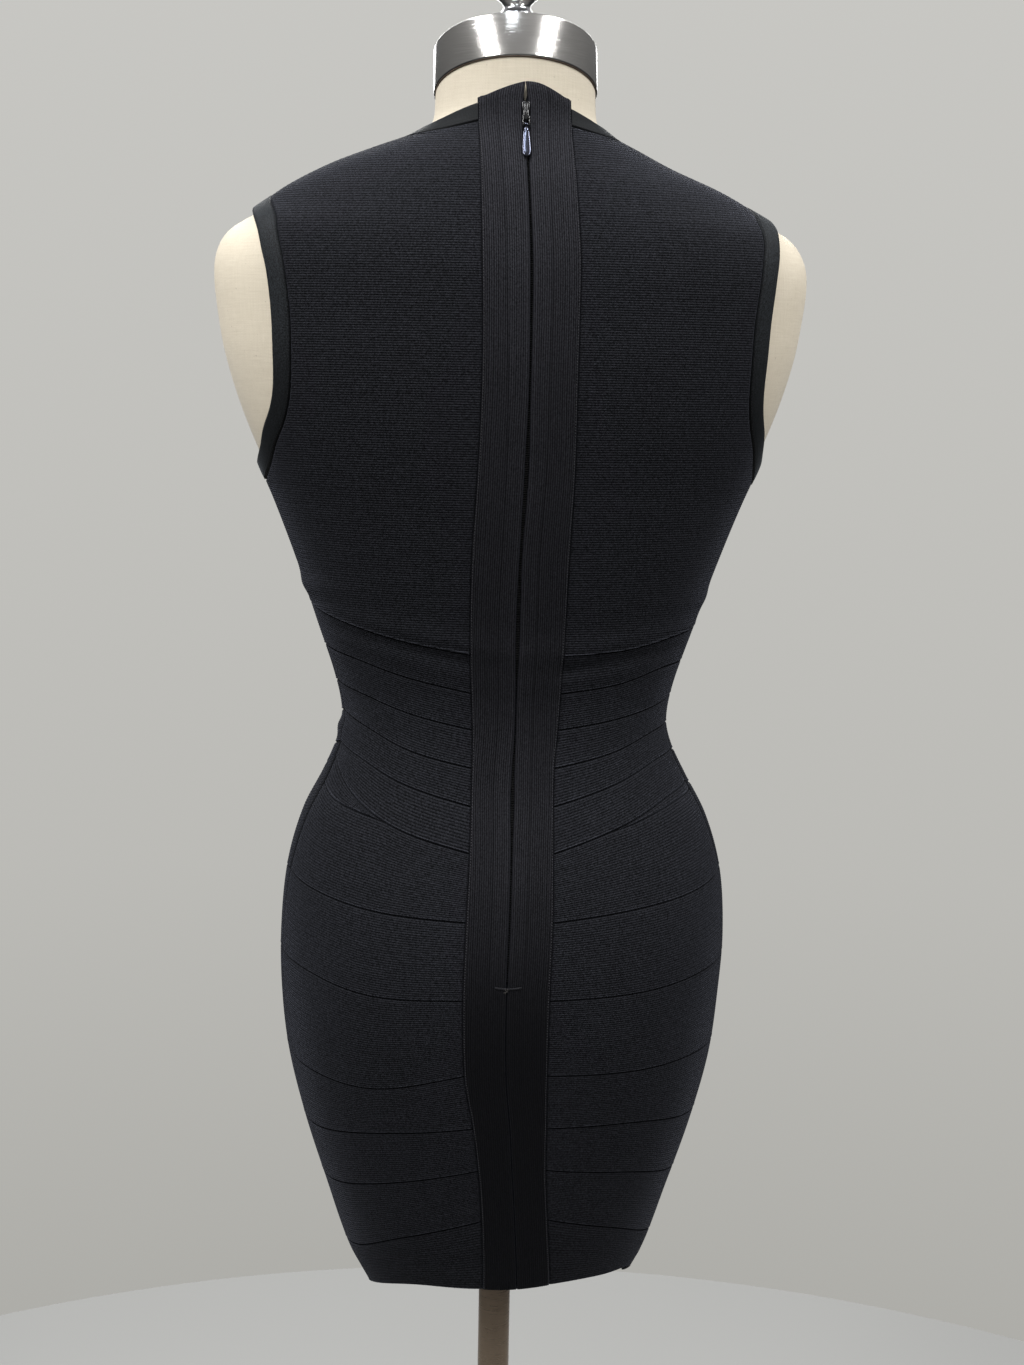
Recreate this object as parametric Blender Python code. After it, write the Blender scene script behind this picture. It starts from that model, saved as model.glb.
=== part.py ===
"""A sleeveless high-neck bandage dress, worn by a limbless dress form on a pole.

Metres, +Z up. The floor is z = 0, the pole is the Z axis, the back of the dress faces +Y
and the wearer's left is +X. Every cloth piece is a wall laid on one figure surface, which
is read at an angle round from +X and a height.
"""
import math

import bmesh
import bpy
from mathutils import Matrix, Vector

# Cloth sizes
WALL = 0.0016
STRIP_WALL = 0.0020
BINDING_WALL = 0.0020
SEAM_GAP = 0.0003
RIDGE = 0.0006
EASE = 0.0026
BINDING_WIDTH = 0.0150
NECKBAND_WIDTH = 0.0135

# The figure's level sections: half width, depth behind and in front, squareness, and how far
# the middle lies to the wearer's left of the pole, because the form stands a little askew
SECTIONS = [
    # height, half_width, back, front, squareness, aside
    (0.700, 0.0865, 0.0800, 0.0900, 2.10, 0.0000),
    (0.722, 0.0949, 0.0850, 0.0940, 2.10, 0.0000),
    (0.760, 0.1141, 0.0950, 0.1000, 2.15, 0.0000),
    (0.808, 0.1302, 0.1060, 0.1050, 2.20, 0.0000),
    (0.857, 0.1450, 0.1150, 0.1090, 2.25, 0.0000),
    (0.906, 0.1563, 0.1210, 0.1110, 2.30, 0.0000),
    (0.952, 0.1613, 0.1240, 0.1120, 2.30, 0.0000),
    (0.998, 0.1627, 0.1220, 0.1120, 2.30, -0.0010),
    (1.045, 0.1585, 0.1130, 0.1100, 2.25, -0.0015),
    (1.083, 0.1474, 0.1010, 0.1070, 2.20, -0.0012),
    (1.113, 0.1318, 0.0910, 0.1030, 2.15, -0.0008),
    (1.136, 0.1215, 0.0860, 0.1000, 2.10, 0.0000),
    (1.155, 0.1175, 0.0830, 0.0980, 2.10, 0.0000),
    (1.181, 0.1216, 0.0820, 0.0990, 2.10, 0.0000),
    (1.225, 0.1359, 0.0860, 0.1050, 2.15, 0.0000),
    (1.269, 0.1507, 0.0920, 0.1160, 2.20, 0.0000),
    (1.313, 0.1674, 0.0980, 0.1260, 2.20, 0.0000),
    (1.342, 0.1800, 0.1010, 0.1290, 2.20, 0.0000),
    (1.378, 0.1944, 0.1040, 0.1260, 2.20, 0.0000),
    (1.413, 0.2050, 0.1050, 0.1180, 2.20, 0.0000),
    (1.441, 0.2100, 0.1040, 0.1090, 2.20, 0.0000),
    (1.469, 0.2127, 0.1020, 0.1000, 2.20, 0.0000),
    (1.487, 0.2097, 0.0990, 0.0940, 2.20, 0.0004),
    (1.502, 0.1990, 0.0950, 0.0890, 2.20, 0.0010),
    (1.515, 0.1765, 0.0910, 0.0840, 2.15, 0.0022),
    (1.530, 0.1518, 0.0850, 0.0780, 2.10, 0.0050),
    (1.545, 0.1195, 0.0770, 0.0710, 2.05, 0.0080),
    (1.556, 0.0943, 0.0700, 0.0650, 2.00, 0.0048),
    (1.566, 0.0710, 0.0635, 0.0605, 2.00, 0.0010),
    (1.575, 0.0612, 0.0595, 0.0575, 2.00, 0.0000),
    (1.590, 0.0588, 0.0565, 0.0555, 2.00, 0.0000),
    (1.640, 0.0580, 0.0545, 0.0545, 2.00, 0.0000),
]
# Two soft rounds of the bust
BUST_ASIDE = 0.072
BUST_HEIGHT = 1.335
BUST_SPREAD = 0.055
BUST_FULLNESS = 0.008

# Band seams from the hem up, each with its height at the strip, a third and two thirds of
# the way to the side, at the side, and at the middle of the front
SEAMS = [
    # strip, left_third, left_two_thirds, left_side, right_third, right_two_thirds, right_side, front
    (0.7500, 0.7440, 0.7330, 0.7210, 0.7475, 0.7440, 0.7260, 0.7250),
    (0.8075, 0.7870, 0.7665, 0.7585, 0.7920, 0.7750, 0.7640, 0.7740),
    (0.8485, 0.8325, 0.8185, 0.8120, 0.8390, 0.8255, 0.8160, 0.8230),
    (0.8815, 0.8720, 0.8615, 0.8565, 0.8790, 0.8700, 0.8640, 0.8700),
    (0.9215, 0.9060, 0.9070, 0.9110, 0.9195, 0.9200, 0.9180, 0.9180),
    (0.9760, 0.9745, 0.9820, 0.9855, 0.9775, 0.9820, 0.9850, 0.9740),
    (1.0295, 1.0325, 1.0390, 1.0450, 1.0355, 1.0410, 1.0470, 1.0310),
    (1.0750, 1.0885, 1.1080, 1.1280, 1.0910, 1.1055, 1.1105, 1.0850),
    (1.1060, 1.1175, 1.1310, 1.1380, 1.1185, 1.1305, 1.1340, 1.1140),
    (1.1320, 1.1410, 1.1535, 1.1615, 1.1400, 1.1500, 1.1535, 1.1430),
    (1.1585, 1.1670, 1.1775, 1.1830, 1.1635, 1.1695, 1.1750, 1.1720),
    (1.1845, 1.1935, 1.2040, 1.2090, 1.1895, 1.1990, 1.2000, 1.2010),
    (1.2120, 1.2200, 1.2310, 1.2405, 1.2145, 1.2220, 1.2260, 1.2320),
]
SKIRT_BANDS = 7
WAIST_BANDS = 5
SKIRT_ROWS = [0, 0.06, 0.53, 1]
WAIST_ROWS = [0, 0.10, 1]

# The strip down the middle of the back
STRIP = [
    # height, centre, half_width
    (0.700, -0.0105, 0.0240),
    (0.748, -0.0103, 0.0241),
    (0.805, -0.0072, 0.0233),
    (0.846, -0.0042, 0.0236),
    (0.883, -0.0015, 0.0257),
    (0.921, 0.0020, 0.0287),
    (0.976, 0.0028, 0.0298),
    (1.030, 0.0010, 0.0299),
    (1.076, -0.0003, 0.0289),
    (1.132, -0.0014, 0.0285),
    (1.158, -0.0026, 0.0295),
    (1.212, -0.0028, 0.0321),
    (1.279, -0.0034, 0.0332),
    (1.340, -0.0058, 0.0327),
    (1.393, -0.0066, 0.0320),
    (1.440, -0.0068, 0.0322),
    (1.480, -0.0065, 0.0328),
    (1.525, -0.0050, 0.0320),
    (1.567, -0.0036, 0.0312),
    (1.620, -0.0030, 0.0300),
]
STRIP_TOP_EDGE = 1.5875
STRIP_TOP_MIDDLE = 1.5985
ZIP_END = 0.986
SLIT_GAP = 0.0010
ZIP_MOUTH = 1.568
ZIP_MOUTH_GAP = 0.0028

# The side seam lies a little behind the side
SIDE_SEAM = [
    # height, degrees_behind
    (0.700, 9.0),
    (1.000, 10.0),
    (1.120, 10.0),
    (1.220, 6.0),
    (1.290, 1.5),
    (1.320, 0.0),
]
# The armhole's edge: degrees from the side at each height, behind and before
ARMHOLE = [
    # height, behind, before
    (1.3390, 0.0, 0.0),
    (1.3420, 5.5, 6.0),
    (1.3510, 10.7, 12.0),
    (1.3640, 14.4, 16.4),
    (1.3800, 18.3, 20.2),
    (1.4000, 20.4, 22.7),
    (1.4300, 21.2, 24.1),
    (1.4600, 20.7, 23.6),
    (1.4800, 19.2, 21.6),
    (1.4985, 15.8, 17.2),
    (1.5085, 9.9, 10.6),
    (1.5145, 0.0, 0.0),
]
ARMHOLE_MIDDLE = 1.427
ARMHOLE_SHIFT = 0.060
# The neckline's top edge
NECK_SIDE = 1.5695
NECK_BACK_RISE = 0.0190
NECK_FRONT_DROP = 0.0350
NECK_CURVE = 1.8

# Heights at the back strip or the front's middle that face the underarm and the shoulder
UNDERARM_LEVEL = 1.300
SHOULDER_LEVEL = {"back": 1.524, "front": 1.497}

# How many stretches each edge is cut into
BACK_COLUMNS = 8
FRONT_COLUMNS = 8
SIDE_STEPS = 5
ARMHOLE_STEPS = 12
SHOULDER_STEPS = 5
FORM_COLUMNS = 36
LATHE_SIDES = 28
ANGLE_CROWDING = 0.7
STRIP_COLUMNS = [0, 0.5, 1]
STRIP_TOP_ROWS = [0.35, 0.7, 1]
NECKBAND_ROWS = [0, 0.8, 1]
BINDING_ROWS = [0, 0.2, 1]

# Soft folds of the waist and the free hem
WAIST_FOLD = 0.0020
WAIST_FOLD_SPREAD = 0.0080
HEM_WAVE = 0.0018
HEM_WAVES = 5
HEM_FREE = 0.800
FOLD_SPACING = 0.020
FOLD_ECHO = 0.45
FOLD_REACH = math.radians(82)

# The dress form and its stand
FORM_HEIGHTS = [
    0.8400, 0.870, 0.900, 0.930, 0.960, 0.990, 1.020, 1.050, 1.080, 1.108, 1.132, 1.155,
    1.180, 1.210, 1.240, 1.270, 1.300, 1.330, 1.360, 1.390, 1.420, 1.446, 1.469, 1.485,
    1.498, 1.508, 1.518, 1.529, 1.540, 1.550, 1.559,
]
FORM_BOTTOM = 0.8340
FORM_BOTTOM_ROUND = 0.0080
NECK_ROWS = 5
NECK_TILT = math.radians(20)
NECK_TOP = 1.5960
CAP_RADIUS = 0.0573
CAP_HEIGHT = 0.0320
CAP_ROUND = 0.0015
POLE_RADIUS = 0.0120
BASE_RADIUS = 0.1800
BASE_HEIGHT = 0.0140
HUB_RADIUS = 0.0300
HUB_HEIGHT = 0.0500
HUB_FOOT = 0.0100
HUB_FOOT_RISE = 0.0060
BASE_ROUND = 0.0040
FINIAL_PROFILE = [
    # height, radius
    (1.6100, 0.0160),
    (1.6380, 0.0160),
    (1.6410, 0.0150),
    (1.6440, 0.0112),
    (1.6470, 0.0106),
    (1.6500, 0.0120),
    (1.6525, 0.0104),
    (1.6550, 0.0092),
    (1.6580, 0.0112),
    (1.6610, 0.0145),
    (1.6660, 0.0172),
    (1.6720, 0.0185),
    (1.6790, 0.0184),
    (1.6860, 0.0166),
    (1.6920, 0.0130),
    (1.6960, 0.0085),
    (1.6980, 0.0035),
]

# The zip's slider and pull tab
SLIDER_HEIGHT = 1.5775
SLIDER_LENGTH = 0.0130
SLIDER_WIDTH = 0.0052
SLIDER_THICKNESS = 0.0022
SLIDER_CLEARANCE = 0.0010
EAR_WIDTH = 0.0008
EAR_SPACING = 0.0036
PIN_RADIUS = 0.0005
EAR_RADIUS = 0.0011
BARREL_RADIUS = 0.0014
BARREL_BORE = 0.0009
BARREL_WIDTH = 0.0020
PIN_DROP = 0.0102
PIN_LIFT = 0.0038
TAB_OUTLINE = [
    # below_pin, half_width
    (0.0009, 0.0008),
    (0.0035, 0.0012),
    (0.0050, 0.0019),
    (0.0100, 0.0023),
    (0.0150, 0.0026),
    (0.0195, 0.0028),
    (0.0225, 0.0026),
    (0.0242, 0.0018),
    (0.0250, 0.0006),
]
TAB_STEPS = 14
TAB_THICKNESS = 0.0014
TAB_HANG = math.radians(29.4)

# Colours and finish: colour, roughness, metallic
CLOTH = ((0.017, 0.018, 0.022, 1), 0.85, 0.0)
BINDING_CLOTH = ((0.012, 0.015, 0.017, 1), 0.60, 0.0)
STRIP_CLOTH = ((0.014, 0.014, 0.017, 1), 0.80, 0.0)
LINEN = ((0.72, 0.64, 0.49, 1), 0.85, 0.0)
STEEL = ((0.55, 0.53, 0.50, 1), 0.32, 1.0)
CHROME = ((0.80, 0.80, 0.82, 1), 0.06, 1.0)
POLE_STEEL = ((0.42, 0.38, 0.34, 1), 0.28, 1.0)
IRON = ((0.05, 0.05, 0.055, 1), 0.45, 0.6)
BLACK_METAL = ((0.010, 0.010, 0.014, 1), 0.15, 0.9)

TINY = 1e-4


def clear_scene():
    for thing in list(bpy.data.objects):
        bpy.data.objects.remove(thing, do_unlink=True)


def smooth(knots, column, at):
    """Read one column of a table at a place, on a smooth curve through its rows."""
    last = len(knots) - 2
    row = 0
    while row < last and at > knots[row + 1][0]:
        row += 1
    before = knots[max(row - 1, 0)]
    low = knots[row]
    high = knots[row + 1]
    after = knots[min(row + 2, last + 1)]
    span = high[0] - low[0]
    slope_low = (high[column] - before[column]) / (high[0] - before[0]) * span
    slope_high = (after[column] - low[column]) / (after[0] - low[0]) * span
    t = min(max((at - low[0]) / span, 0.0), 1.0)
    return ((2 * t ** 3 - 3 * t ** 2 + 1) * low[column]
            + (t ** 3 - 2 * t ** 2 + t) * slope_low
            + (3 * t ** 2 - 2 * t ** 3) * high[column]
            + (t ** 3 - t ** 2) * slope_high)


def figure_point(angle, height):
    """The figure's surface at an angle round from +X and a height."""
    half_width = smooth(SECTIONS, 1, height)
    depth = smooth(SECTIONS, 2 if math.sin(angle) > 0 else 3, height)
    power = smooth(SECTIONS, 4, height)
    across = abs(math.cos(angle)) / half_width
    along = abs(math.sin(angle)) / depth
    reach = (across ** power + along ** power) ** (-1 / power)
    aside = smooth(SECTIONS, 5, height)
    point = Vector((reach * math.cos(angle) + aside, reach * math.sin(angle), height))
    if point.y < 0:
        above = (height - BUST_HEIGHT) / BUST_SPREAD
        for side in (-1, 1):
            beside = (point.x - side * BUST_ASIDE) / BUST_SPREAD
            point.y += BUST_FULLNESS * math.exp(-beside ** 2 - above ** 2) * math.sin(angle)
    return point


def figure_slopes(angle, height):
    """How the surface runs on with the angle and with the height."""
    round_way = figure_point(angle + TINY, height) - figure_point(angle - TINY, height)
    up_way = figure_point(angle, height + TINY) - figure_point(angle, height - TINY)
    return round_way / (2 * TINY), up_way / (2 * TINY)


def figure_normal(angle, height):
    round_way, up_way = figure_slopes(angle, height)
    return round_way.cross(up_way).normalized()


def walk(angle, height, heading, distance, steps=4):
    """Go a distance over the figure's surface, along a heading laid on it."""
    for _ in range(steps):
        round_way, up_way = figure_slopes(angle, height)
        round_square = round_way.dot(round_way)
        up_square = up_way.dot(up_way)
        mixed = round_way.dot(up_way)
        spread = round_square * up_square - mixed * mixed
        along_round = heading.dot(round_way)
        along_up = heading.dot(up_way)
        turn = (along_round * up_square - along_up * mixed) / spread
        climb = (along_up * round_square - along_round * mixed) / spread
        scale = distance / steps / (round_way * turn + up_way * climb).length
        angle += turn * scale
        height += climb * scale
    return angle, height


def turned(side, angle):
    """The same place on the wearer's left (side 1) or right (side -1)."""
    return angle if side > 0 else math.pi - angle


def crowd(angle):
    """An angle on a scale whose even steps lie closer together at the narrow sides."""
    return math.atan2(math.sin(angle) / ANGLE_CROWDING, math.cos(angle))


def between(start, end, share):
    """An angle a share of the way from one to another, both on the left."""
    even = crowd(start) * (1 - share) + crowd(end) * share
    return math.atan2(ANGLE_CROWDING * math.sin(even), math.cos(even))


def back_angle(aside, height):
    """The angle of the back surface at a distance aside of the pole."""
    half_width = smooth(SECTIONS, 1, height)
    depth = smooth(SECTIONS, 2, height)
    power = smooth(SECTIONS, 4, height)
    across = aside - smooth(SECTIONS, 5, height)
    behind = depth * (1 - (abs(across) / half_width) ** power) ** (1 / power)
    return math.atan2(behind, across)


def strip_edge(side, height, gap=0.0):
    """The strip's edge as an angle on the left, or a place a gap outside it."""
    centre = smooth(STRIP, 1, height)
    half_width = smooth(STRIP, 2, height)
    return turned(side, back_angle(centre + side * (half_width + gap), height))


def side_seam(height):
    return math.radians(smooth(SIDE_SEAM, 1, min(height, SIDE_SEAM[-1][0])))


def back_side_edge(height):
    """The back pieces' edge at the side seam, half a gap behind it."""
    return side_seam(height) + half_gap_angle(height)


def front_side_edge(height):
    return side_seam(height) - half_gap_angle(height)


def half_gap_angle(height):
    return SEAM_GAP / 2 / figure_point(0, height).x


def seam_height(row, side, share):
    """A seam's height on the back, from the strip at 0 to the side at 1."""
    seam = SEAMS[row]
    first = 1 if side > 0 else 4
    knots = [(0, seam[0]), (1 / 3, seam[first]), (2 / 3, seam[first + 1]), (1, seam[first + 2])]
    return smooth(knots, 1, share)


def front_seam_height(row, share):
    """A seam's height on the front, from the left side at 0 to the right side at 1."""
    seam = SEAMS[row]
    ends = seam[3] * (1 - share) + seam[6] * share
    return ends + (seam[7] - (seam[3] + seam[6]) / 2) * math.sin(math.pi * share)


def front_angle(start, share):
    """An angle on the front, from a left start through the middle to its mirror image."""
    middle = -math.pi / 2
    if share <= 0.5:
        return between(start, middle, share * 2)
    return math.pi - between(start, middle, (1 - share) * 2)


def stand_off(angle, height):
    """How far the cloth stands off the figure: the waist's fold and the hem's waves."""
    lift = 0.0
    if math.sin(angle) > 0:
        side = 1 if math.cos(angle) > 0 else -1
        share = min(abs(math.pi / 2 - angle) / FOLD_REACH, 1.0)
        top = seam_height(len(SEAMS) - 1, side, share)
        for drop, strength in ((0.0, 1.0), (FOLD_SPACING, FOLD_ECHO)):
            away = (height - top + drop) / WAIST_FOLD_SPREAD
            lift += WAIST_FOLD * strength * (1 - share ** 4) * math.exp(-away ** 2)
    free = max(HEM_FREE - height, 0.0) / (HEM_FREE - SEAMS[0][0])
    lift += HEM_WAVE * min(free, 1.0) ** 2 * math.sin(HEM_WAVES * angle)
    return lift


def new_object(name, mesh, finish):
    """Put a mesh in the scene as one node with a material of its own."""
    colour, roughness, metallic = finish
    material = bpy.data.materials.new(name)
    material.use_nodes = True
    shader = material.node_tree.nodes["Principled BSDF"]
    shader.inputs["Base Color"].default_value = colour
    shader.inputs["Roughness"].default_value = roughness
    shader.inputs["Metallic"].default_value = metallic
    material.diffuse_color = colour
    mesh.materials.append(material)
    thing = bpy.data.objects.new(name, mesh)
    bpy.context.scene.collection.objects.link(thing)
    return thing


def mesh_from(name, bm, sharp=math.radians(40)):
    bmesh.ops.recalc_face_normals(bm, faces=bm.faces)
    mesh = bpy.data.meshes.new(name)
    bm.to_mesh(mesh)
    bm.free()
    mesh.shade_smooth()
    mesh.set_sharp_from_angle(angle=sharp)
    return mesh


def cloth_wall(name, rows, thickness, finish, looped=False):
    """A wall on the figure: rows of (angle, height, ridge), closed along its edges."""
    bm = bmesh.new()
    inner = []
    outer = []
    for row in rows:
        inner_row = []
        outer_row = []
        for angle, height, ridge in row:
            normal = figure_normal(angle, height)
            base = figure_point(angle, height) + normal * stand_off(angle, height)
            inner_row.append(bm.verts.new(base))
            outer_row.append(bm.verts.new(base + normal * (thickness + ridge)))
        inner.append(inner_row)
        outer.append(outer_row)
    count = len(rows[0])
    steps = range(count) if looped else range(count - 1)
    for lower in range(len(rows) - 1):
        for column in steps:
            following = (column + 1) % count
            for sheet in (inner, outer):
                bm.faces.new((sheet[lower][column], sheet[lower][following],
                              sheet[lower + 1][following], sheet[lower + 1][column]))
        if not looped:
            for column in (0, count - 1):
                bm.faces.new((inner[lower][column], outer[lower][column],
                              outer[lower + 1][column], inner[lower + 1][column]))
    for row in (0, len(rows) - 1):
        for column in steps:
            following = (column + 1) % count
            bm.faces.new((inner[row][column], inner[row][following],
                          outer[row][following], outer[row][column]))
    return new_object(name, mesh_from(name, bm), finish)


def band_rows(fractions, place, columns):
    """Rows of a band whose lower edge carries the raised seam, with half a gap at each seam."""
    rows = []
    for fraction in fractions:
        nudge = {fractions[0]: SEAM_GAP / 2, fractions[-1]: -SEAM_GAP / 2}.get(fraction, 0.0)
        ridge = RIDGE if fraction == fractions[0] else 0.0
        row = []
        for column in range(columns + 1):
            angle, height = place(fraction, column / columns)
            row.append((angle, height + nudge, ridge))
        rows.append(row)
    return rows


def back_band(name, lower, side, fractions):
    def height_at(fraction, share):
        return (seam_height(lower, side, share) * (1 - fraction)
                + seam_height(lower + 1, side, share) * fraction)

    def place(fraction, share):
        start = strip_edge(side, height_at(fraction, 0), SEAM_GAP)
        end = back_side_edge(height_at(fraction, 1))
        return turned(side, between(start, end, share)), height_at(fraction, share)

    cloth_wall(name, band_rows(fractions, place, BACK_COLUMNS), WALL, CLOTH)


def front_band(name, lower, fractions):
    def height_at(fraction, share):
        return (front_seam_height(lower, share) * (1 - fraction)
                + front_seam_height(lower + 1, share) * fraction)

    def place(fraction, share):
        start = front_side_edge(height_at(fraction, round(share)))
        return front_angle(start, share), height_at(fraction, share)

    cloth_wall(name, band_rows(fractions, place, 2 * FRONT_COLUMNS), WALL, CLOTH)


def armhole_edge(side, face):
    """The armhole's edge on one face, from the underarm to the shoulder, in even steps."""
    column = 2 if face == "back" else 3
    stretch = 1 + ARMHOLE_SHIFT * side * (1 if face == "back" else -1)
    knots = [(index, *row) for index, row in enumerate(ARMHOLE)]
    fine = []
    parts = 8
    for step in range((len(ARMHOLE) - 1) * parts + 1):
        height = smooth(knots, 1, step / parts)
        angle = math.radians(smooth(knots, column, step / parts)) * stretch
        fine.append((angle if face == "back" else -angle, height))
    lengths = [0.0]
    for last, place in zip(fine, fine[1:]):
        lengths.append(lengths[-1] + (figure_point(*place) - figure_point(*last)).length)
    edge = []
    for step in range(ARMHOLE_STEPS + 1):
        wanted = lengths[-1] * step / ARMHOLE_STEPS
        index = min(max(i for i, length in enumerate(lengths) if length <= wanted), len(fine) - 2)
        part = (wanted - lengths[index]) / (lengths[index + 1] - lengths[index])
        edge.append(tuple(a * (1 - part) + b * part for a, b in zip(fine[index], fine[index + 1])))
    return edge


def off_the_armhole(place, distance):
    """A place on the figure a distance away from the armhole's edge."""
    if distance == 0:
        return place
    middle = Vector((figure_point(0, ARMHOLE_MIDDLE).x, 0, ARMHOLE_MIDDLE))
    return walk(*place, figure_point(*place) - middle, distance)


def neckline_height(angle):
    rise = NECK_BACK_RISE if math.sin(angle) > 0 else -NECK_FRONT_DROP
    return NECK_SIDE + rise * abs(math.sin(angle)) ** NECK_CURVE


def below_neckline(angle, distance, steps=4):
    """A place on the figure below the neckline's edge, at the same angle."""
    height = neckline_height(angle)
    for _ in range(steps):
        height -= distance / steps / figure_slopes(angle, height)[1].length
    return angle, height


def neck_at_strip(side, distance):
    """Where a line below the neckline meets the strip."""
    start = strip_edge(side, STRIP_TOP_EDGE, SEAM_GAP)
    height = below_neckline(start, distance)[1]
    return strip_edge(side, height, SEAM_GAP), height


def back_neck_place(side, share, distance):
    """A place below the neckline, from the strip at 0 to the shoulder at 1."""
    start = strip_edge(side, STRIP_TOP_EDGE, SEAM_GAP)
    angle, height = below_neckline(between(start, 0, share), distance)
    correction = neck_at_strip(side, distance)[0] - below_neckline(start, distance)[0]
    return angle + correction * (1 - share) ** 2, height


def front_neck_place(share, distance):
    """A place below the front neckline, from the left shoulder at 0 to the right at 1."""
    reach = 2 * min(share, 1 - share)
    angle, height = below_neckline(between(0, -math.pi / 2, reach), distance)
    return (angle if share <= 0.5 else math.pi - angle), height


def bodice_sides(side, face):
    """The outer edge of one bodice half: side seam, armhole and shoulder seam."""
    sign = 1 if face == "back" else -1
    bottom = SEAMS[-1][3 if side > 0 else 6]
    armhole = [off_the_armhole(place, BINDING_WIDTH + SEAM_GAP)
               for place in armhole_edge(side, face)]
    top = below_neckline(0, NECKBAND_WIDTH + SEAM_GAP)[1]
    edge = []
    for step in range(SIDE_STEPS):
        height = bottom + (armhole[0][1] - bottom) * step / SIDE_STEPS
        edge.append((side_seam(height) + sign * half_gap_angle(height), height))
    for angle, height in armhole:
        edge.append((sign * max(sign * angle, half_gap_angle(height)), height))
    for step in range(1, SHOULDER_STEPS + 1):
        height = armhole[-1][1] + (top - armhole[-1][1]) * step / SHOULDER_STEPS
        edge.append((sign * half_gap_angle(height), height))
    return edge


def bodice_levels(face, bottom, top):
    """Heights of the bodice's rows at its middle edge."""
    levels = [bottom]
    stretches = ((SIDE_STEPS, UNDERARM_LEVEL), (ARMHOLE_STEPS, SHOULDER_LEVEL[face]),
                 (SHOULDER_STEPS, top))
    for steps, end in stretches:
        start = levels[-1]
        levels += [start + (end - start) * step / steps for step in range(1, steps + 1)]
    return levels


def coons(bottom, top, inner, outer, share, rise):
    """A place between four edges, from inner to outer and from bottom to top."""
    places = []
    for axis in (0, 1):
        places.append((1 - rise) * bottom[axis] + rise * top[axis]
                      + (1 - share) * inner[axis] + share * outer[axis])
    return places


def bodice_grid(side, face):
    """Rows of places on one bodice half, from its middle edge to its outer edge."""
    outer_edge = bodice_sides(side, face)
    last = len(outer_edge) - 1
    columns = BACK_COLUMNS if face == "back" else FRONT_COLUMNS
    middle = -math.pi / 2

    def bottom_place(share):
        if face == "back":
            start = strip_edge(side, SEAMS[-1][0], SEAM_GAP)
            return between(start, outer_edge[0][0], share), seam_height(-1, side, share)
        along = 0.5 - share / 2 if side > 0 else 0.5 + share / 2
        return between(middle, outer_edge[0][0], share), front_seam_height(-1, along)

    def top_place(share):
        distance = NECKBAND_WIDTH + SEAM_GAP
        shoulder = outer_edge[-1][0]
        if face == "back":
            angle, height = back_neck_place(side, share, distance)
            return angle + shoulder * share, height
        return below_neckline(between(middle, shoulder, share), distance)

    def inner_place(height):
        if face == "back":
            return strip_edge(side, height, SEAM_GAP), height
        return middle, height

    levels = bodice_levels(face, bottom_place(0)[1], top_place(0)[1])
    rows = []
    for row, outer in enumerate(outer_edge):
        rise = row / last
        places = []
        for column in range(columns + 1):
            share = column / columns
            blend = coons(bottom_place(share), top_place(share), inner_place(levels[row]), outer,
                          share, rise)
            for axis in (0, 1):
                blend[axis] -= ((1 - share) * ((1 - rise) * bottom_place(0)[axis]
                                               + rise * top_place(0)[axis])
                                + share * ((1 - rise) * outer_edge[0][axis]
                                           + rise * outer_edge[last][axis]))
            if row == 0:
                blend[1] += SEAM_GAP / 2
            places.append((blend[0], blend[1], RIDGE if row == 0 else 0.0))
        rows.append(places)
    return rows


def back_bodice(name, side):
    rows = [[(turned(side, angle), height, ridge) for angle, height, ridge in row]
            for row in bodice_grid(side, "back")]
    cloth_wall(name, rows, WALL, CLOTH)


def front_bodice(name):
    left = bodice_grid(1, "front")
    right = bodice_grid(-1, "front")
    rows = []
    for left_row, right_row in zip(left, right):
        mirrored = [(math.pi - angle, height, ridge) for angle, height, ridge in right_row]
        rows.append(left_row[::-1] + mirrored[1:])
    cloth_wall(name, rows, WALL, CLOTH)


def strip_heights():
    """Heights of the strip's rows, level with the rows of the pieces beside it."""
    heights = []
    for band in range(SKIRT_BANDS + WAIST_BANDS):
        low = SEAMS[band][0]
        high = SEAMS[band + 1][0]
        fractions = SKIRT_ROWS if band < SKIRT_BANDS else WAIST_ROWS
        heights += [low + (high - low) * fraction for fraction in fractions[:-1]]
    top = (neck_at_strip(1, NECKBAND_WIDTH)[1] + neck_at_strip(-1, NECKBAND_WIDTH)[1]) / 2
    return heights + bodice_levels("back", SEAMS[-1][0], top)


def slit_half_gap(height):
    if height < ZIP_END:
        return SEAM_GAP / 2
    opening = max(height - ZIP_MOUTH, 0) / (STRIP_TOP_MIDDLE - ZIP_MOUTH)
    return (SLIT_GAP + (ZIP_MOUTH_GAP - SLIT_GAP) * opening) / 2


def back_strip(name, side):
    """One half of the strip, from its sewn edge to the zip's slit and the seam below it."""
    rows = []
    heights = strip_heights()
    for height in heights:
        rows.append([(share, height) for share in STRIP_COLUMNS])
    for part in STRIP_TOP_ROWS:
        row = []
        for share in STRIP_COLUMNS:
            top = STRIP_TOP_EDGE + (STRIP_TOP_MIDDLE - STRIP_TOP_EDGE) * share
            row.append((share, heights[-1] + (top - heights[-1]) * part))
        rows.append(row)
    placed = []
    for row in rows:
        placed_row = []
        for share, height in row:
            centre = smooth(STRIP, 1, height)
            half_width = smooth(STRIP, 2, height)
            aside = half_width * (1 - share) + slit_half_gap(height) * share
            placed_row.append((back_angle(centre + side * aside, height), height, 0.0))
        placed.append(placed_row)
    cloth_wall(name, placed, STRIP_WALL, STRIP_CLOTH)


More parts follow.
